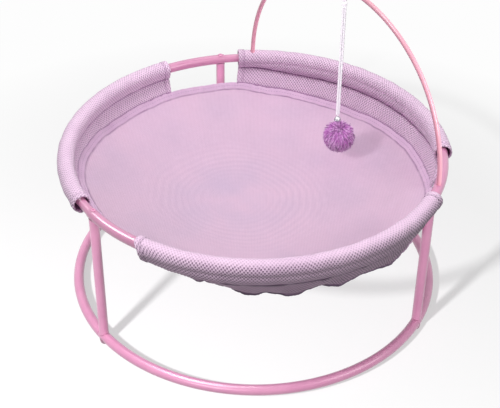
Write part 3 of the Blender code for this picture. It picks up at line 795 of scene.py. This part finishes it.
def screw_mesh(name, azimuth, ring_z, side, head, socket):
    """A screw with a domed head on a ring; side is 1 with its head on top."""
    sides = 48
    head_radius, face_radius, head_height = head
    face = TUBE_R + head_height
    brim = head_height * 0.22
    tip = -SCREW_REACH - TUBE_R
    # Rows of radius, share of the saddle's lift and height
    rows = [(SCREW_R, 0.0, tip), (SCREW_R, 1.0, 0.0), (head_radius * 0.985, 1.0, 0.0),
            (head_radius, 1.0, head_height * 0.08), (head_radius, 1.0, brim)]
    for share in (0.35, 0.6, 0.8, 0.93, 1.0):
        rise = math.sin(share * math.pi / 2)
        radius = head_radius + (face_radius - head_radius) * (1 - math.cos(share * math.pi / 2)) ** 0.9
        rows.append((radius, 1 - rise, brim * (1 - rise) + face * rise))
    floor = face
    if socket:
        corner = (np.arange(sides) / sides * 2 * math.pi + math.pi / 6) % (math.pi / 3) - math.pi / 6
        size = face_radius * 0.62 / np.cos(corner)
        rows += [(size, 0.0, face), (size * 0.94, 0.0, face - head_height * 0.75)]
        floor = face - head_height * 0.85
    centre = on_ring(azimuth, 0.0, 0.0)[:2]
    grid = []
    for radius, lifted, height in rows:
        plan = circle(1.0, sides) * np.reshape(np.broadcast_to(radius, sides), (sides, 1)) + centre
        grid.append(raised(plan, ring_z + side * (lifted * saddle(plan) + height)))
    skin = Skin()
    skin.grid(np.stack(grid), wrap_b=True)
    skin.cap(grid[0], (*centre, ring_z + side * tip))
    skin.cap(grid[-1], (*centre, ring_z + side * floor))
    return skin.mesh(name)


def build_screws():
    """The screws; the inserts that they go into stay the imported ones."""
    for leg, azimuth in LEG_AZIMUTHS.items():
        for label, ring_z, side, head in (("top", TOP_Z, 1, TOP_HEAD), ("base", BASE_Z, -1, FOOT_HEAD)):
            mesh = screw_mesh(f"dome_{label}_screw_{leg}", azimuth, ring_z, side, head, side > 0)
            piece(mesh, PINK, "frame", (f"{label}_screw_{leg}",), sharp=42)
            dress(bpy.data.objects[f"leg_insert_{label}_{leg}"].data, ZINC)


# Sling

FRONT_EDGE = (
    (-68.3, 0.0), (-64.0, -0.5), (-60.0, 0.3), (-56.0, -0.8), (-53.5, 0.6), (-51.7, 1.0),
    (-49.7, -2.8), (-47.5, -1.6), (-45.9, -0.9), (-42.8, -1.1), (-40.1, 1.4), (-38.0, 3.0),
    (-35.0, 2.6), (-32.0, -0.8), (-28.5, 1.0), (-25.0, 4.2), (-22.5, 3.6), (-19.0, -1.0),
    (-15.0, -3.2), (-11.8, 0.6), (-9.1, 3.4), (-6.5, 1.4), (-4.8, 0.5), (-1.5, -1.0), (2.0, 0.0),
    (5.4, 0.8), (8.3, 3.0), (10.5, 4.5), (13.3, 3.0), (16.5, 1.6), (19.0, 1.8), (22.0, 0.6),
    (25.5, 0.0), (28.6, 0.0),
)


def waves(values, parts):
    """A sum of sines of degrees: parts are (cycles in a turn, degrees of phase, share)."""
    return sum(share * np.sin(np.radians(values * cycles + phase)) for cycles, phase, share in parts)


def signed(azimuths):
    """Azimuths as -180 to 180 degrees."""
    return (azimuths + 180.0) % 360.0 - 180.0


def sleeve_share(azimuths):
    """How far places are from their sleeve's ends, from 0 to 1, and 0 in the gaps."""
    shares = []
    for start, end in SLEEVE_SPANS.values():
        along = (start - azimuths) % 360.0
        span = (start - end) % 360.0
        shares.append(smooth_step(np.minimum(along, span - along) / (span * SLEEVE_EASE)))
    return np.maximum.reduce(shares)


def smooth_edge():
    """Azimuths and the bound edge's mean (inset, drop) at them, in metres."""
    azimuths = np.arange(0.0, 360.0, 0.5)
    places = np.array(EDGE_LINE)
    window = np.hanning(21)
    lines = []
    for column, size in ((1, FLAP_INSET), (2, FLAP_DROP)):
        line = np.interp(azimuths, places[:, 0], places[:, column], period=360.0) * size
        lines.append(np.convolve(np.pad(line, 10, mode="wrap"), window / window.sum(), "valid"))
    return azimuths, lines


EDGE_AZIMUTHS, (EDGE_INSETS, EDGE_DROPS) = smooth_edge()


def gathers(azimuths):
    """How much lower the bound edge hangs than its mean line."""
    places, drops = np.array(FRONT_EDGE).T
    turned = signed(azimuths)
    i = np.clip(np.searchsorted(places, turned), 1, len(places) - 1)
    t = (turned - places[i - 1]) / (places[i] - places[i - 1])
    front = 0.001 * (drops[i - 1] + (drops[i] - drops[i - 1]) * smooth_step(t))
    even = waves(azimuths, ((18, 0, 0.6), (31, 70, 0.4), (47, 10, 0.25)))
    other = 0.0011 * even * (0.35 + 0.65 * sleeve_share(azimuths))
    return np.where((turned > places[0]) & (turned < places[-1]), front, other)


def edge_lines(azimuths, gathered=True):
    """Places (n, 2) of the bound edge's top at many azimuths, in metres."""
    inset, drop = (np.interp(azimuths, EDGE_AZIMUTHS, line, period=360.0)
                   for line in (EDGE_INSETS, EDGE_DROPS))
    lower = gathers(azimuths) if gathered else 0.0
    return np.stack((-inset + 0.25 * lower, -drop - lower), -1)


DOWN = np.array(BINDING_RUN) / math.hypot(*BINDING_RUN)
ACROSS = np.array((-DOWN[1], DOWN[0]))


def seam_line(side, azimuths):
    """Places (n, 2) of the seam under the tube."""
    start, end = SLEEVE_SPANS[side]
    span = start - end
    along = start - azimuths
    share = smooth_step(np.minimum(along, span - along) / (span * SLEEVE_EASE))
    first, middle, last = SEAM_SHARES[side]
    end_share = np.where(along < span - along, first, last)
    drop = SEAM_DROP * (end_share + (middle - end_share) * share)
    inset_start = SLOT_HALF_WIDTH + SEAM_CLOTH / 2 + CLOTH_GAP if side == "right" else SEAM_INSET
    shift = (inset_start - SEAM_INSET) * (1 - smooth_step(along / (span * LEG_EASE)))
    return np.stack((-SEAM_INSET - shift, -drop), -1)


def fine_azimuths(start, end):
    """Azimuths along a sleeve, closer together at its hems."""
    hem = degrees_for(0.0095)
    first = np.linspace(start, start - hem, 22)
    last = np.linspace(end + hem, end, 22)
    count = int((start - end - 2 * hem) / 0.36)
    return np.concatenate((first, np.linspace(first[-1], last[0], count)[1:-1], last))


def hem_offset(distance):
    """How far the folded hem stands proud, at a distance from the sleeve's end."""
    fold = 0.00075 * (1 - smooth_step((distance - 0.0074) / 0.0009))
    return fold - 0.00042 * ridge(distance, HEM_STITCHES, 0.00045) - end_lip(distance, 0.0010)


def end_lip(distance, depth):
    """How far an edge is rolled in, over the last millimetre before the sleeve's end."""
    return depth * np.clip(1 - distance / 0.0010, 0, 1) ** 2


def sleeve_outline(side, azimuths, seam):
    """The cloth's outer outline and its bore at each station, as (n, m, 2) places."""
    top = edge_lines(azimuths)
    hem = top + DOWN * TUCK
    centre = np.array(SLEEVE_CENTRE)
    half = np.array((SEAM_CLOTH / 2, 0.0))

    # The flap: both faces follow one middle surface, which bellies out between its gathers
    steps = np.linspace(0.0, 1.0, FLAP_STEPS)
    lobes = top[:, 1] - np.convolve(np.pad(top[:, 1], 20, mode="edge"), np.ones(41) / 41, "valid")
    ripple = 0.0005 * waves(azimuths, ((55, 20, 0.6), (87, 140, 0.5), (134, 260, 0.3)))
    sway = (ripple - 0.55 * lobes)[:, None] * np.sin(math.pi * steps) ** 1.1
    middle = hem[:, None] + (seam - hem)[:, None] * steps[None, :, None] - sway[..., None] * ACROSS
    thick = 0.35 + 0.65 * smooth_step((steps - 0.06) / 0.16)
    at_hem = ACROSS * SEAM_CLOTH / 2
    apart = (at_hem + (half - at_hem) * steps[:, None]) * thick[:, None]

    # Round the tube: bowed from the seam to a tangent, round, and bowed back
    def tangent(spot, sign):
        away = spot - centre
        lean = np.arccos(np.minimum(SLEEVE_OUTER_R / np.linalg.norm(away, axis=-1), 1.0))
        return np.arctan2(away[:, 1], away[:, 0]) + sign * lean

    first = tangent(seam + half, 1.0)
    last = tangent(seam - half, -1.0) + 2 * math.pi
    turn = first[:, None] + (last - first)[:, None] * np.linspace(0, 1, 46)[None]
    unit = np.stack((np.cos(turn), np.sin(turn)), -1)
    shares = np.linspace(0.0, 1.0, 11)[None, :-1, None]
    plump = (0.16 if side == "right" else 0.13) * np.sin(math.pi * shares) ** 0.8

    def run_up(spot, radius, column, fullness=0.0):
        end = centre + radius * unit[:, column]
        reach = np.linalg.norm(end - spot, axis=-1)[:, None, None]
        return spot[:, None] + (end - spot)[:, None] * shares + fullness * reach * unit[:, column][:, None]

    def wrapped(rise_from, fall_to, radius, fullness=0.0):
        return np.concatenate((run_up(rise_from, radius, 0, fullness), centre + radius * unit,
                               run_up(fall_to, radius, -1, fullness)[:, ::-1]), 1)

    around = wrapped(seam + half, seam - half, SLEEVE_OUTER_R, plump)
    pinch = seam + normalised(centre - seam) * SEAM_CLOTH * 1.25
    bore = wrapped(pinch, pinch, SLEEVE_BORE_R)
    return np.concatenate((middle + apart, around[:, 1:-1], (middle - apart)[:, ::-1]), 1), bore


def sleeve_grids(side):
    """Azimuths, outline, bore, lengths round the outline and tones, with hems and a seam groove."""
    start, end = SLEEVE_SPANS[side]
    azimuths = fine_azimuths(start, end)
    outline, bore = sleeve_outline(side, azimuths, seam_line(side, azimuths))
    lengths = np.cumsum(np.linalg.norm(np.diff(outline, axis=1), axis=-1), 1)
    length = np.pad(lengths, ((0, 0), (1, 0)))
    ends = np.radians(np.minimum(start - azimuths, azimuths - end)) * RING_RADIUS
    ripple = waves(azimuths, ((41, 15, 1.0), (67, 80, 0.7)))[:, None]
    uneven = 0.00022 * ripple * np.cos(length * 130.0 + np.radians(azimuths)[:, None] * 9)
    offset = uneven + hem_offset(ends)[:, None]
    front = side == "right"
    # Painted shade: dark lines along the cloth's cut edges, at the hem's fold and stitch line, and in the
    # seam's creases, widest on the front flap below its seam.
    edge_shade = 1.0 if front else 0.8
    bands = [edge_shade * ridge(edge, 0.0014, 0.0009) for edge in (length, length[:, -1:] - length)]
    bands += [0.45 * ridge(ends, 0.0079, 0.0005)[:, None], 0.30 * ridge(ends, HEM_STITCHES, 0.0004)[:, None]]
    for column in (FLAP_STEPS - 1, -FLAP_STEPS):
        away = length - length[:, column, None]
        offset = offset - 0.0012 * ridge(away, 0.0, 0.0010)
        bands.append(ridge(away, 0.0, np.where((away < 0) & front, 0.0046, 0.0012), 4))
    shade = np.maximum.reduce(np.broadcast_arrays(*bands))
    way = np.gradient(outline, axis=1)
    normal = normalised(np.stack((way[..., 1], -way[..., 0]), -1))
    bore = bore + normalised(bore - np.array(SLEEVE_CENTRE)) * end_lip(ends, 0.0004)[:, None, None]
    return azimuths, outline + normal * offset[..., None], bore, length, shade


def sleeve_points(side, azimuths, places):
    """Points for places (n, m, 2); the flap's bottom corners reach further along the ring."""
    start, end = SLEEVE_SPANS[side]
    low = smooth_step((-places[..., 1] - 0.010) / 0.022)

    def near(distance, reach):
        return smooth_step(1 - distance / reach)[:, None]

    ends = near(start - azimuths, 9.0) - near(azimuths - end, 9.0)
    at_start, at_end = CORNER_REACH[side]
    reach = degrees_for(1.0) * np.where(ends > 0, at_start, at_end) * low * ends
    if side == "back":
        reach = reach - 2.2 * low * near(azimuths - end, 12.0)
    if side == "right":
        lean = 1.1 - 1.9 * smooth_step(places[..., 1] / SLEEVE_OUTER_R)
        reach = reach + lean * near(azimuths - end, 14.0)
    return beside_top_ring(azimuths[:, None] + reach, places)


def leg_slot():
    """The slot in the right sleeve's underside that lets it lie over the leg."""
    azimuth = LEG_AZIMUTHS["right"]
    angle = math.radians(azimuth)
    start = math.radians(SLEEVE_SPANS["right"][0] - azimuth) * RING_RADIUS + 2 * SLOT_HALF_WIDTH
    outward = np.array((math.cos(angle), math.sin(angle)))
    onward = np.array((-math.sin(angle), math.cos(angle)))
    turns = [math.pi * i / 16 for i in range(17)]
    outline = [(SLOT_HALF_WIDTH * math.cos(turn), -SLOT_HALF_WIDTH * math.sin(turn)) for turn in turns]
    outline += [(-SLOT_HALF_WIDTH, start), (SLOT_HALF_WIDTH, start)]
    centre = on_ring(azimuth, 0.0, 0.0)[:2]
    plan = np.array([centre + outward * a + onward * b for a, b in outline])
    skin = Skin()
    skin.prism([raised(plan, z) for z in (TOP_Z - 0.09, TOP_Z)])
    return skin.mesh("slot")


def stitch_row(skin, points, normals, stitch, gap, radius):
    """Add a row of sewn stitches along points, each a small bowed bead of thread."""
    travel = travelled(points)
    shares = np.linspace(0, 1, 6)
    lift = radius * (1.3 * np.sin(math.pi * shares) - 0.35)
    thick = radius * np.array((0.35, 0.85, 1.0, 1.0, 0.85, 0.35))
    for i in range(int((travel[-1] - gap) // (stitch + gap))):
        at = gap / 2 + i * (stitch + gap) + stitch * shares
        up = at_travel(normals, travel, at)
        path = at_travel(points, travel, at) + up * lift[:, None]
        skin.tube(path, thick[:, None], 6, up[0])


def build_sleeve(side):
    azimuths, outline, bore, length, shade = sleeve_grids(side)
    outer = sleeve_points(side, azimuths, outline)
    inner = sleeve_points(side, azimuths, bore)
    along = np.radians(azimuths)[:, None] * RING_RADIUS
    layout = np.stack(np.broadcast_arrays(along, length), -1)
    skin = Skin()
    skin.grid(outer, layout, shade=shade)
    bore_lengths = np.linspace(0, 0.052, bore.shape[1])
    # Painted shade: the bore's inner face is toned dark.
    skin.grid(inner, np.stack(np.broadcast_arrays(along, bore_lengths), -1), shade=0.8)

    def strip(first, second, flat, width, axis=0):
        """Close the cloth's cut between two of its edges."""
        skin.grid(np.stack((first, second), axis), np.stack((flat, flat + width), axis))

    strip(outer[:, 0], outer[:, -1], layout[:, 0], (0.0, 0.003), 1)
    k = FLAP_STEPS
    around = slice(k - 1, 1 - k)
    for end in (0, -1):
        strip(outer[end, around], inner[end], layout[end, around], (0.0016, 0))
        strip(outer[end, :k], outer[end, -k:][::-1], layout[end, :k], (0.0028, 0))
        skin.grid(np.stack((outer[end, [k - 1, -k]], inner[end, [0, -1]])))
    mesh = skin.mesh(f"mesh_sleeve_{side}")
    if side == "right":
        mesh = carve(mesh, [leg_slot()])
    if side == "back":
        mesh = carve(mesh, [foot_hole("foot_hole", -1, 32)])
    made = piece(mesh, SPACER[side], "frame", (f"sleeve_{side}",), sharp=60)
    start, end = SLEEVE_SPANS[side]
    sewn = build_sleeve_stitches(side, azimuths, outer)


def build_sleeve_stitches(side, azimuths, outer):
    """Thread along the seam under the tube, over the hems and over the bound edge."""
    start, end = SLEEVE_SPANS[side]
    k = FLAP_STEPS
    last = outer.shape[1] - 1
    middle = outer.shape[1] // 2
    normals = normalised(np.cross(np.gradient(outer, axis=0), np.gradient(outer, axis=1)))
    outward = outer[:, middle] - on_ring(azimuths, 0.0, TOP_Z)
    normals = normals * np.sign(np.sum(outward * normals[:, middle], 1)).mean()
    clear = degrees_for(0.010)
    inside = (azimuths < start - clear) & (azimuths > end + clear)
    if side == "right":
        inside &= azimuths < LEG_AZIMUTHS["right"] - degrees_for(0.012)
    rows = [(inside, column, 0.0028, 0.0010, 0.00024) for column in (k + 2, last - k - 2)]
    rows += [(inside, column, 0.0026, 0.0010, 0.00022) for column in (2, last - 2)]
    travel = np.radians(start - azimuths) * RING_RADIUS
    for distance in (HEM_STITCHES, travel[-1] - HEM_STITCHES):
        row = int(np.argmin(np.abs(travel - distance)))
        clear_of_leg = k + 8 if side == "right" and distance < 0.01 else 1
        rows.append((row, slice(clear_of_leg, last - 1), 0.0019, 0.0009, 0.00024))
    skin = Skin()
    for row, column, stitch, gap, radius in rows:
        stitch_row(skin, outer[row, column], normals[row, column], stitch, gap, radius)
    return piece(skin.mesh(f"stitches_{side}"), SEWING, "frame")


def build_binding():
    """The folded tape round the bowl's edge, its stitches on both faces."""
    azimuths = np.arange(0.0, 360.0, 0.45)
    closed = np.append(azimuths, 360.0)
    gap = 1.0 - sleeve_share(azimuths)
    crinkle = 0.0004 * waves(azimuths, ((150, 0, 0.5), (233, 50, 0.5), (97, 120, 0.6))) * (0.35 + gap)
    run = math.hypot(*BINDING_RUN)
    middle = edge_lines(azimuths) + DOWN * run / 2 + ACROSS * crinkle[:, None]
    turn = np.arange(22) * 2 * math.pi / 22
    along, thick = (half * np.sign(way) * np.abs(way) ** TAPE_FULLNESS for half, way in
                    ((run / 2, np.cos(turn)), (BINDING_THICKNESS / 2, np.sin(turn))))
    dented = thick * (1 - 0.16 * ridge(along, 0.0, 0.0010))
    places = middle[:, None] + DOWN * along[None, :, None] + ACROSS * dented[None, :, None]
    widths = np.cumsum(np.hypot(np.diff(along), np.diff(thick)))
    across = np.concatenate(([0.0], widths, [widths[-1] + 0.001]))
    layout = np.stack(np.meshgrid(np.radians(closed) * 0.195, across, indexing="ij"), -1)
    # The photo shows the tape's outer face dark under the right sleeve
    # Painted shadow: the tone darkens the tape's outer face where it lies under the right sleeve.
    turned = signed(azimuths)
    front = smooth_step((turned + 60.0) / 14.0) * smooth_step((24.0 - turned) / 14.0)
    shade = front[:, None] * np.clip(0.8 + 1.3 * np.sin(turn), 0.0, 1.0)
    skin = Skin()
    skin.grid(beside_top_ring(azimuths[:, None], places), layout, wrap_a=True, wrap_b=True, shade=shade)
    made = piece(skin.mesh("tape_binding"), TAPE, "frame", ("edge_binding",))
    sewing = Skin()
    ring = np.concatenate((middle, middle[:1]))
    for face in (ACROSS, -ACROSS):
        line = ring + face * BINDING_THICKNESS / 2 * 0.86
        path = beside_top_ring(closed, line)
        normals = normalised(beside_top_ring(closed, line + face) - path)
        stitch_row(sewing, path, normals, 0.0026, 0.0010, 0.00024)
    return made, piece(sewing.mesh("stitches_binding"), SEWING, "frame")


FOLDS = (
    ((0.063, 0.126), (0.098, 0.087), 0.0012, 0.0040),
    ((0.104, 0.131), (0.118, 0.099), 0.0012, 0.0036),
    ((0.120, 0.118), (0.140, 0.072), -0.0009, 0.0050),
    ((0.086, 0.140), (0.110, 0.108), -0.0007, 0.0040),
    ((-0.150, 0.090), (-0.118, 0.070), 0.0007, 0.0050),
)


def folds(plan):
    """Heights of the long soft folds in the bowl's cloth at plan points."""
    total = np.zeros(plan.shape[:-1])
    for start, end, height, width in FOLDS:
        way = np.array(end) - start
        reach = np.linalg.norm(way)
        way = way / reach
        along = (plan - start) @ way / reach
        aside = (plan - start) @ np.array((-way[1], way[0]))
        total += height * np.sin(math.pi * np.clip(along, 0, 1)) ** 0.7 * ridge(aside, 0.0, width)
    return total


def build_bowl(binding):
    """The slung bowl: a fine cloth that hangs from its gathered edge, its hem."""
    azimuths = np.arange(0.0, 360.0, 0.75)
    even = edge_lines(azimuths, False)
    rim = even + np.array(BINDING_RUN) - DOWN * TUCK
    shares = np.concatenate((1 - (1 - np.linspace(0.0, 0.97, 60)) ** 1.25, np.linspace(0.9885, 1.0, 9)))
    uneven = (edge_lines(azimuths) - even)[:, None] * (shares ** 16)[None, :, None]
    radius = (RING_RADIUS + rim[:, 0])[:, None] * shares + uneven[..., 0]
    middle = TOP_Z - BOWL_DEPTH
    height = middle + (TOP_Z + rim[:, 1] - middle)[:, None] * shares ** BOWL_CURVE + uneven[..., 1]
    angle = np.radians(azimuths)
    plan = radius[..., None] * np.stack((np.cos(angle), np.sin(angle)), -1)[:, None]
    pull = 0.00022 * waves(azimuths, ((44, 10, 1.0), (71, 60, 0.7), (103, 200, 0.5)))
    height = height + pull[:, None] * np.clip((shares - 0.86) / 0.14, 0, 1) ** 1.5
    height = height + folds(plan) * np.clip((1 - shares) / 0.06, 0, 1)
    closed = np.append(azimuths, 360.0)
    layout = np.stack(np.meshgrid(np.radians(closed) * 0.19, shares * 0.19, indexing="ij"), -1)
    # Painted shade: the tone marks a line just inside the rim, where the cloth goes under the tape.
    shade = ridge(radius[:, -1:] - radius, 0.0022, 0.0008, 3)
    faces = [np.concatenate((plan, (height + side * BOWL_CLOTH / 2)[..., None]), -1) for side in (1, -1)]
    skin = Skin()
    for points in faces:
        skin.grid(points, layout, wrap_a=True, shade=shade)
    skin.grid(np.stack([points[:, -1] for points in faces], 1), layout[:, -2:], wrap_a=True)
    made = piece(skin.mesh("mesh_bowl"), NET, "frame", ("bowl_panel",))


# Arch and toy

def arch_path(steps=200):
    """The arch's centreline from its right foot to its left, with both feet in the ring."""
    turn = np.linspace(0.0, math.pi, steps)
    cosine, sine = np.cos(turn), np.sin(turn)
    power = 2 / ARCH_FULLNESS
    x = ARCH_HALF_SPAN * np.sign(cosine) * np.abs(cosine) ** power
    z = TOP_Z + ARCH_HEIGHT * np.abs(sine) ** power
    path = np.stack((x, np.full(steps, ARCH_Y), z), -1)
    keep = np.concatenate(([True], np.linalg.norm(np.diff(path, axis=0), axis=1) > 1e-5))
    path = path[keep]
    bore = BORE_R * math.cos(math.pi / 10)
    depth = FIT_GAP - math.sqrt(bore ** 2 - ROD_R ** 2)
    foot = np.array((0.0, 0.0, depth))
    path[0, 0], path[-1, 0] = ARCH_HALF_SPAN, -ARCH_HALF_SPAN
    return np.concatenate(((path[0] + foot)[None], path, (path[-1] + foot)[None]))


def build_arch():
    skin = Skin()
    skin.tube(arch_path(), ROD_R, 32)
    piece(skin.mesh("smooth_arch_rod"), ROD_PINK, "arch", ("arch_rod",), sharp=50)


def braid_radius(travel, sides, radius):
    """Radii of a braid: two sets of four strands that cross over each other."""
    turn = 4 * (np.arange(sides) * 2 * math.pi / sides)
    spin = travel[:, None] * 2 * math.pi / BRAID_LAY * 2
    over = np.maximum(np.cos(turn + spin), np.cos(turn - spin))
    return radius * (0.84 + 0.16 * np.abs(over) ** 0.8)


def resample(path, step):
    """Points at an even step along a path of straight runs."""
    path = np.asarray(path, dtype=float)
    travel = travelled(path)
    at = np.linspace(0.0, travel[-1], max(2, int(round(travel[-1] / step)) + 1))
    return at_travel(path, travel, at), at


def braided(name, path, body, node):
    """A braided cord along a path, and its length."""
    fine, travel = resample(path, 0.00022)
    cut = 0.70 + 0.30 * smooth_step(np.minimum(travel, travel[-1] - travel) / 0.0008)
    skin = Skin()
    skin.tube(fine, braid_radius(travel, 24, CORD_R) * cut[:, None], 24, (1.0, 0.0, 0.0))
    return piece(skin.mesh(name), CORD, body, (node,)), round(float(travel[-1]), 4)


POMPOM_R = 0.0195
POMPOM_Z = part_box("toy_pompom")[0][2] + POMPOM_R
BELL_R = 0.004
BELL_WALL = 0.0006
BELL_PRESSED_R = BELL_R - 0.0001
BELL_Z = POMPOM_Z + POMPOM_R + FIT_GAP + BELL_R
CORD_TOP = KNOT_Z - KNOT_HALF_HEIGHT - FIT_GAP
CORD_END = BELL_Z + BELL_R + 0.0022 + FIT_GAP


def cord_route(side):
    """The route of one strand of the doubled cord."""
    share_and_bow = ((0.0, 0.0), (0.12, 0.00005), (0.25, 0.00012), (0.4, 0.00015), (0.55, 0.00008),
                     (0.7, 0.0), (0.85, 0.00003), (1.0, 0.0))
    return [(side * bow, ARCH_Y + side * CORD_SPACING / 2, CORD_TOP + (CORD_END - CORD_TOP) * share)
            for share, bow in share_and_bow]


def loop_route():
    """The cord's loop over the rod, from the knot and back to it."""
    crown_z = APEX_Z + ROD_R + FIT_GAP + CORD_R - LOOP_RADIUS
    foot_z = KNOT_Z + KNOT_HALF_HEIGHT + FIT_GAP
    half = CORD_SPACING / 2
    turn = np.radians(90 + LOOP_WRAP * (np.linspace(0, 1, 41) - 0.5))
    crown = [(0.0, ARCH_Y + LOOP_RADIUS * math.cos(t), crown_z + LOOP_RADIUS * math.sin(t)) for t in turn]
    tail_z = foot_z + LOOP_TAIL
    return ([(0.0, ARCH_Y + half, z) for z in (foot_z, tail_z)] + crown
            + [(0.0, ARCH_Y - half, z) for z in (tail_z, foot_z)])


def build_knot():
    """The knot: three turns of the cord round both strands."""
    turn = np.linspace(0, 3 * 2 * math.pi, 120)
    height = KNOT_HALF_HEIGHT - 0.0013
    z = KNOT_Z - height + 2 * height * np.linspace(0, 1, 120)
    path = np.stack((0.00165 * np.cos(turn), ARCH_Y + 0.00255 * np.sin(turn), z), -1)
    coil, travel = resample(path, 0.00022)
    skin = Skin()
    skin.tube(coil, braid_radius(travel, 20, 0.00098), 20, (0.0, 0.0, 1.0))
    for side in (-1, 1):
        core = [(0.0, ARCH_Y + side * 0.0011, KNOT_Z - KNOT_HALF_HEIGHT + 0.0005),
                (0.0, ARCH_Y + side * 0.0008, KNOT_Z),
                (0.0, ARCH_Y + side * 0.0011, KNOT_Z + KNOT_HALF_HEIGHT)]
        fine, travel = resample(core, 0.0003)
        skin.tube(fine, braid_radius(travel, 16, 0.00115), 16, (1.0, 0.0, 0.0))
    piece(skin.mesh("cord_knot"), CORD, "toy_hanger", ("toy_knot",))


def bell_cutters():
    """The bell's slot and the round hole at each end of it."""
    slot = Skin()
    half, reach, low, high = 0.00070, 0.0060, BELL_Z - 0.0060, BELL_Z + 0.0002
    plan = [(-half, ARCH_Y - reach), (half, ARCH_Y - reach), (half, ARCH_Y + reach), (-half, ARCH_Y + reach)]
    levels = [raised(plan, z) for z in (low, high)]
    slot.grid(np.stack(levels), wrap_b=True)
    for level in levels:
        slot.grid(np.stack((level[:2], level[[3, 2]])))
    holes = Skin()
    ring = circle(0.00180, 24)
    for side in (-1, 1):
        holes.prism([np.column_stack((ring[:, 0], np.full(24, ARCH_Y + side * y), high + ring[:, 1]))
                     for y in (0.002, 0.006)])
    return [slot.mesh("bell_slot"), holes.mesh("bell_holes")]


def build_bell():
    """A jingle bell: a pressed shell with a rolled seam, a slot with round ends and an eye."""
    skin = Skin()
    # Painted shade: the inner shell's tone of 1 paints its face near black.
    for radius, bead, first, rows, inside_shade in ((BELL_PRESSED_R, 0.00022, -90, 41, 0.0),
                                            (BELL_R - BELL_WALL, 0.0, 90, 31, 1.0)):
        grid = []
        for angle in np.linspace(first, -first, rows):
            rise = math.radians(angle)
            wide = (radius + bead * math.exp(-(angle / 5.0) ** 2)) * math.cos(rise)
            grid.append(raised(circle(max(wide, 1e-6), 64) + (0.0, ARCH_Y), BELL_Z + radius * math.sin(rise)))
        skin.grid(np.stack(grid), wrap_b=True, shade=inside_shade)
    shell = carve(skin.mesh("bell_shell", 4e-6), bell_cutters())
    bell = piece(shell, SILVER, "toy", ("toy_bell",), sharp=35)
    turn = np.linspace(0, 2 * math.pi, 41)[:-1]
    outward = np.stack((np.cos(turn), np.zeros(40), np.sin(turn)), -1)
    wire = circle(0.00032, 14)
    ring = (0.0, ARCH_Y, BELL_Z + BELL_R + 0.0008) + 0.0010 * outward
    eye = Skin()
    eye.grid(ring[:, None] + outward[:, None] * wire[None, :, :1] + np.array((0, 1.0, 0)) * wire[None, :, 1:],
             wrap_a=True, wrap_b=True)
    eye_piece = piece(eye.mesh("bell_eye"), SILVER, "toy")
    pellet = bpy.data.objects["toy_bell_pellet"]
    dress(pellet.data, ZINC)
    return bell, eye_piece, pellet


CORE_R = 0.0128
STRANDS = 3600
STRAND_ROOT = 0.0105
STRAND_SHAPE = np.array((0.9, 1.0, 1.0, 0.95, 0.7))
STRAND_TINTS = (-0.66, -0.40, -0.12, 0.10, 0.22)


def build_pompom():
    """The pompom: thousands of short cut ends of yarn round a tied middle, one in four frayed."""
    draw = random.Random(11)
    middle = np.array((0.0017, ARCH_Y + 0.0024, POMPOM_Z))
    skin = Skin()
    core = []
    for angle in np.linspace(-90, 90, 25):
        rise = math.radians(angle)
        wide = CORE_R * (1 + 0.05 * math.sin(angle * 0.5)) * math.cos(rise)
        core.append(raised(circle(max(wide, 1e-6), 40), CORE_R * math.sin(rise)) + middle)
    # Painted shade: the core is toned dark.
    skin.grid(np.stack(core), wrap_b=True, shade=0.12)
    golden = math.pi * (3 - math.sqrt(5))
    steps = np.linspace(0, 1, 5)
    bowed = (steps ** 2)[:, None]
    for i in range(STRANDS):
        z = 1 - 2 * (i + 0.5) / STRANDS
        flat = math.sqrt(1 - z * z)
        way = np.array((flat * math.cos(golden * i), flat * math.sin(golden * i), z))
        way = normalised(way + np.array([draw.gauss(0, 0.10) for _ in range(3)]))
        frayed = i % 4 == 0
        length = draw.uniform(0.0184, 0.0206) if frayed else draw.uniform(0.0174, 0.0187)
        bend = np.array([draw.gauss(0, 0.0009) for _ in range(3)])
        thick = draw.uniform(0.00009, 0.00015) if frayed else draw.uniform(0.00055, 0.00080)
        tint = draw.choice(STRAND_TINTS)
        down = np.array((0.0, 0.0, -1.0)) + way * way[2]
        reach = STRAND_ROOT + (length - STRAND_ROOT) * steps
        path = middle + normalised(way + 0.62 * down * bowed) * reach[:, None] + bend * bowed
        radius = thick * STRAND_SHAPE
        # The tone paints shade towards the roots and light at the tips.
        tone = 0.55 + 0.45 * steps if frayed else np.clip(0.05 + (0.70 + tint) * steps, 0, 1)
        side = normalised(np.cross(way, (0.3, 0.5, 0.8)))
        grid = tube_points(path, radius[:, None], 4, side)
        skin.grid(grid, wrap_b=True, shade=tone[:, None])
        tip = np.broadcast_to(path[-1] + way * radius[-1], (4, 3))
        skin.grid(np.stack((grid[-1], tip)), wrap_b=True, shade=tone[-1])
    return piece(skin.mesh("yarn_pompom", 1e-7), YARN, "toy", ("toy_pompom",))


def build_toy():
    loop, length = braided("cord_loop", loop_route(), "toy_hanger", "toy_loop")
    build_knot()
    hangs = [*build_bell(), build_pompom()]
    for side, label in ((1, "back"), (-1, "front")):
        route = cord_route(side)
        strand, length = braided(f"cord_{label}", route, "toy", f"toy_cord_{label}")


build_rings()
build_legs()
build_screws()
for sleeve_side in SLEEVE_SPANS:
    build_sleeve(sleeve_side)
build_bowl(build_binding())
build_arch()
build_toy()
light_scene(FLOOR)
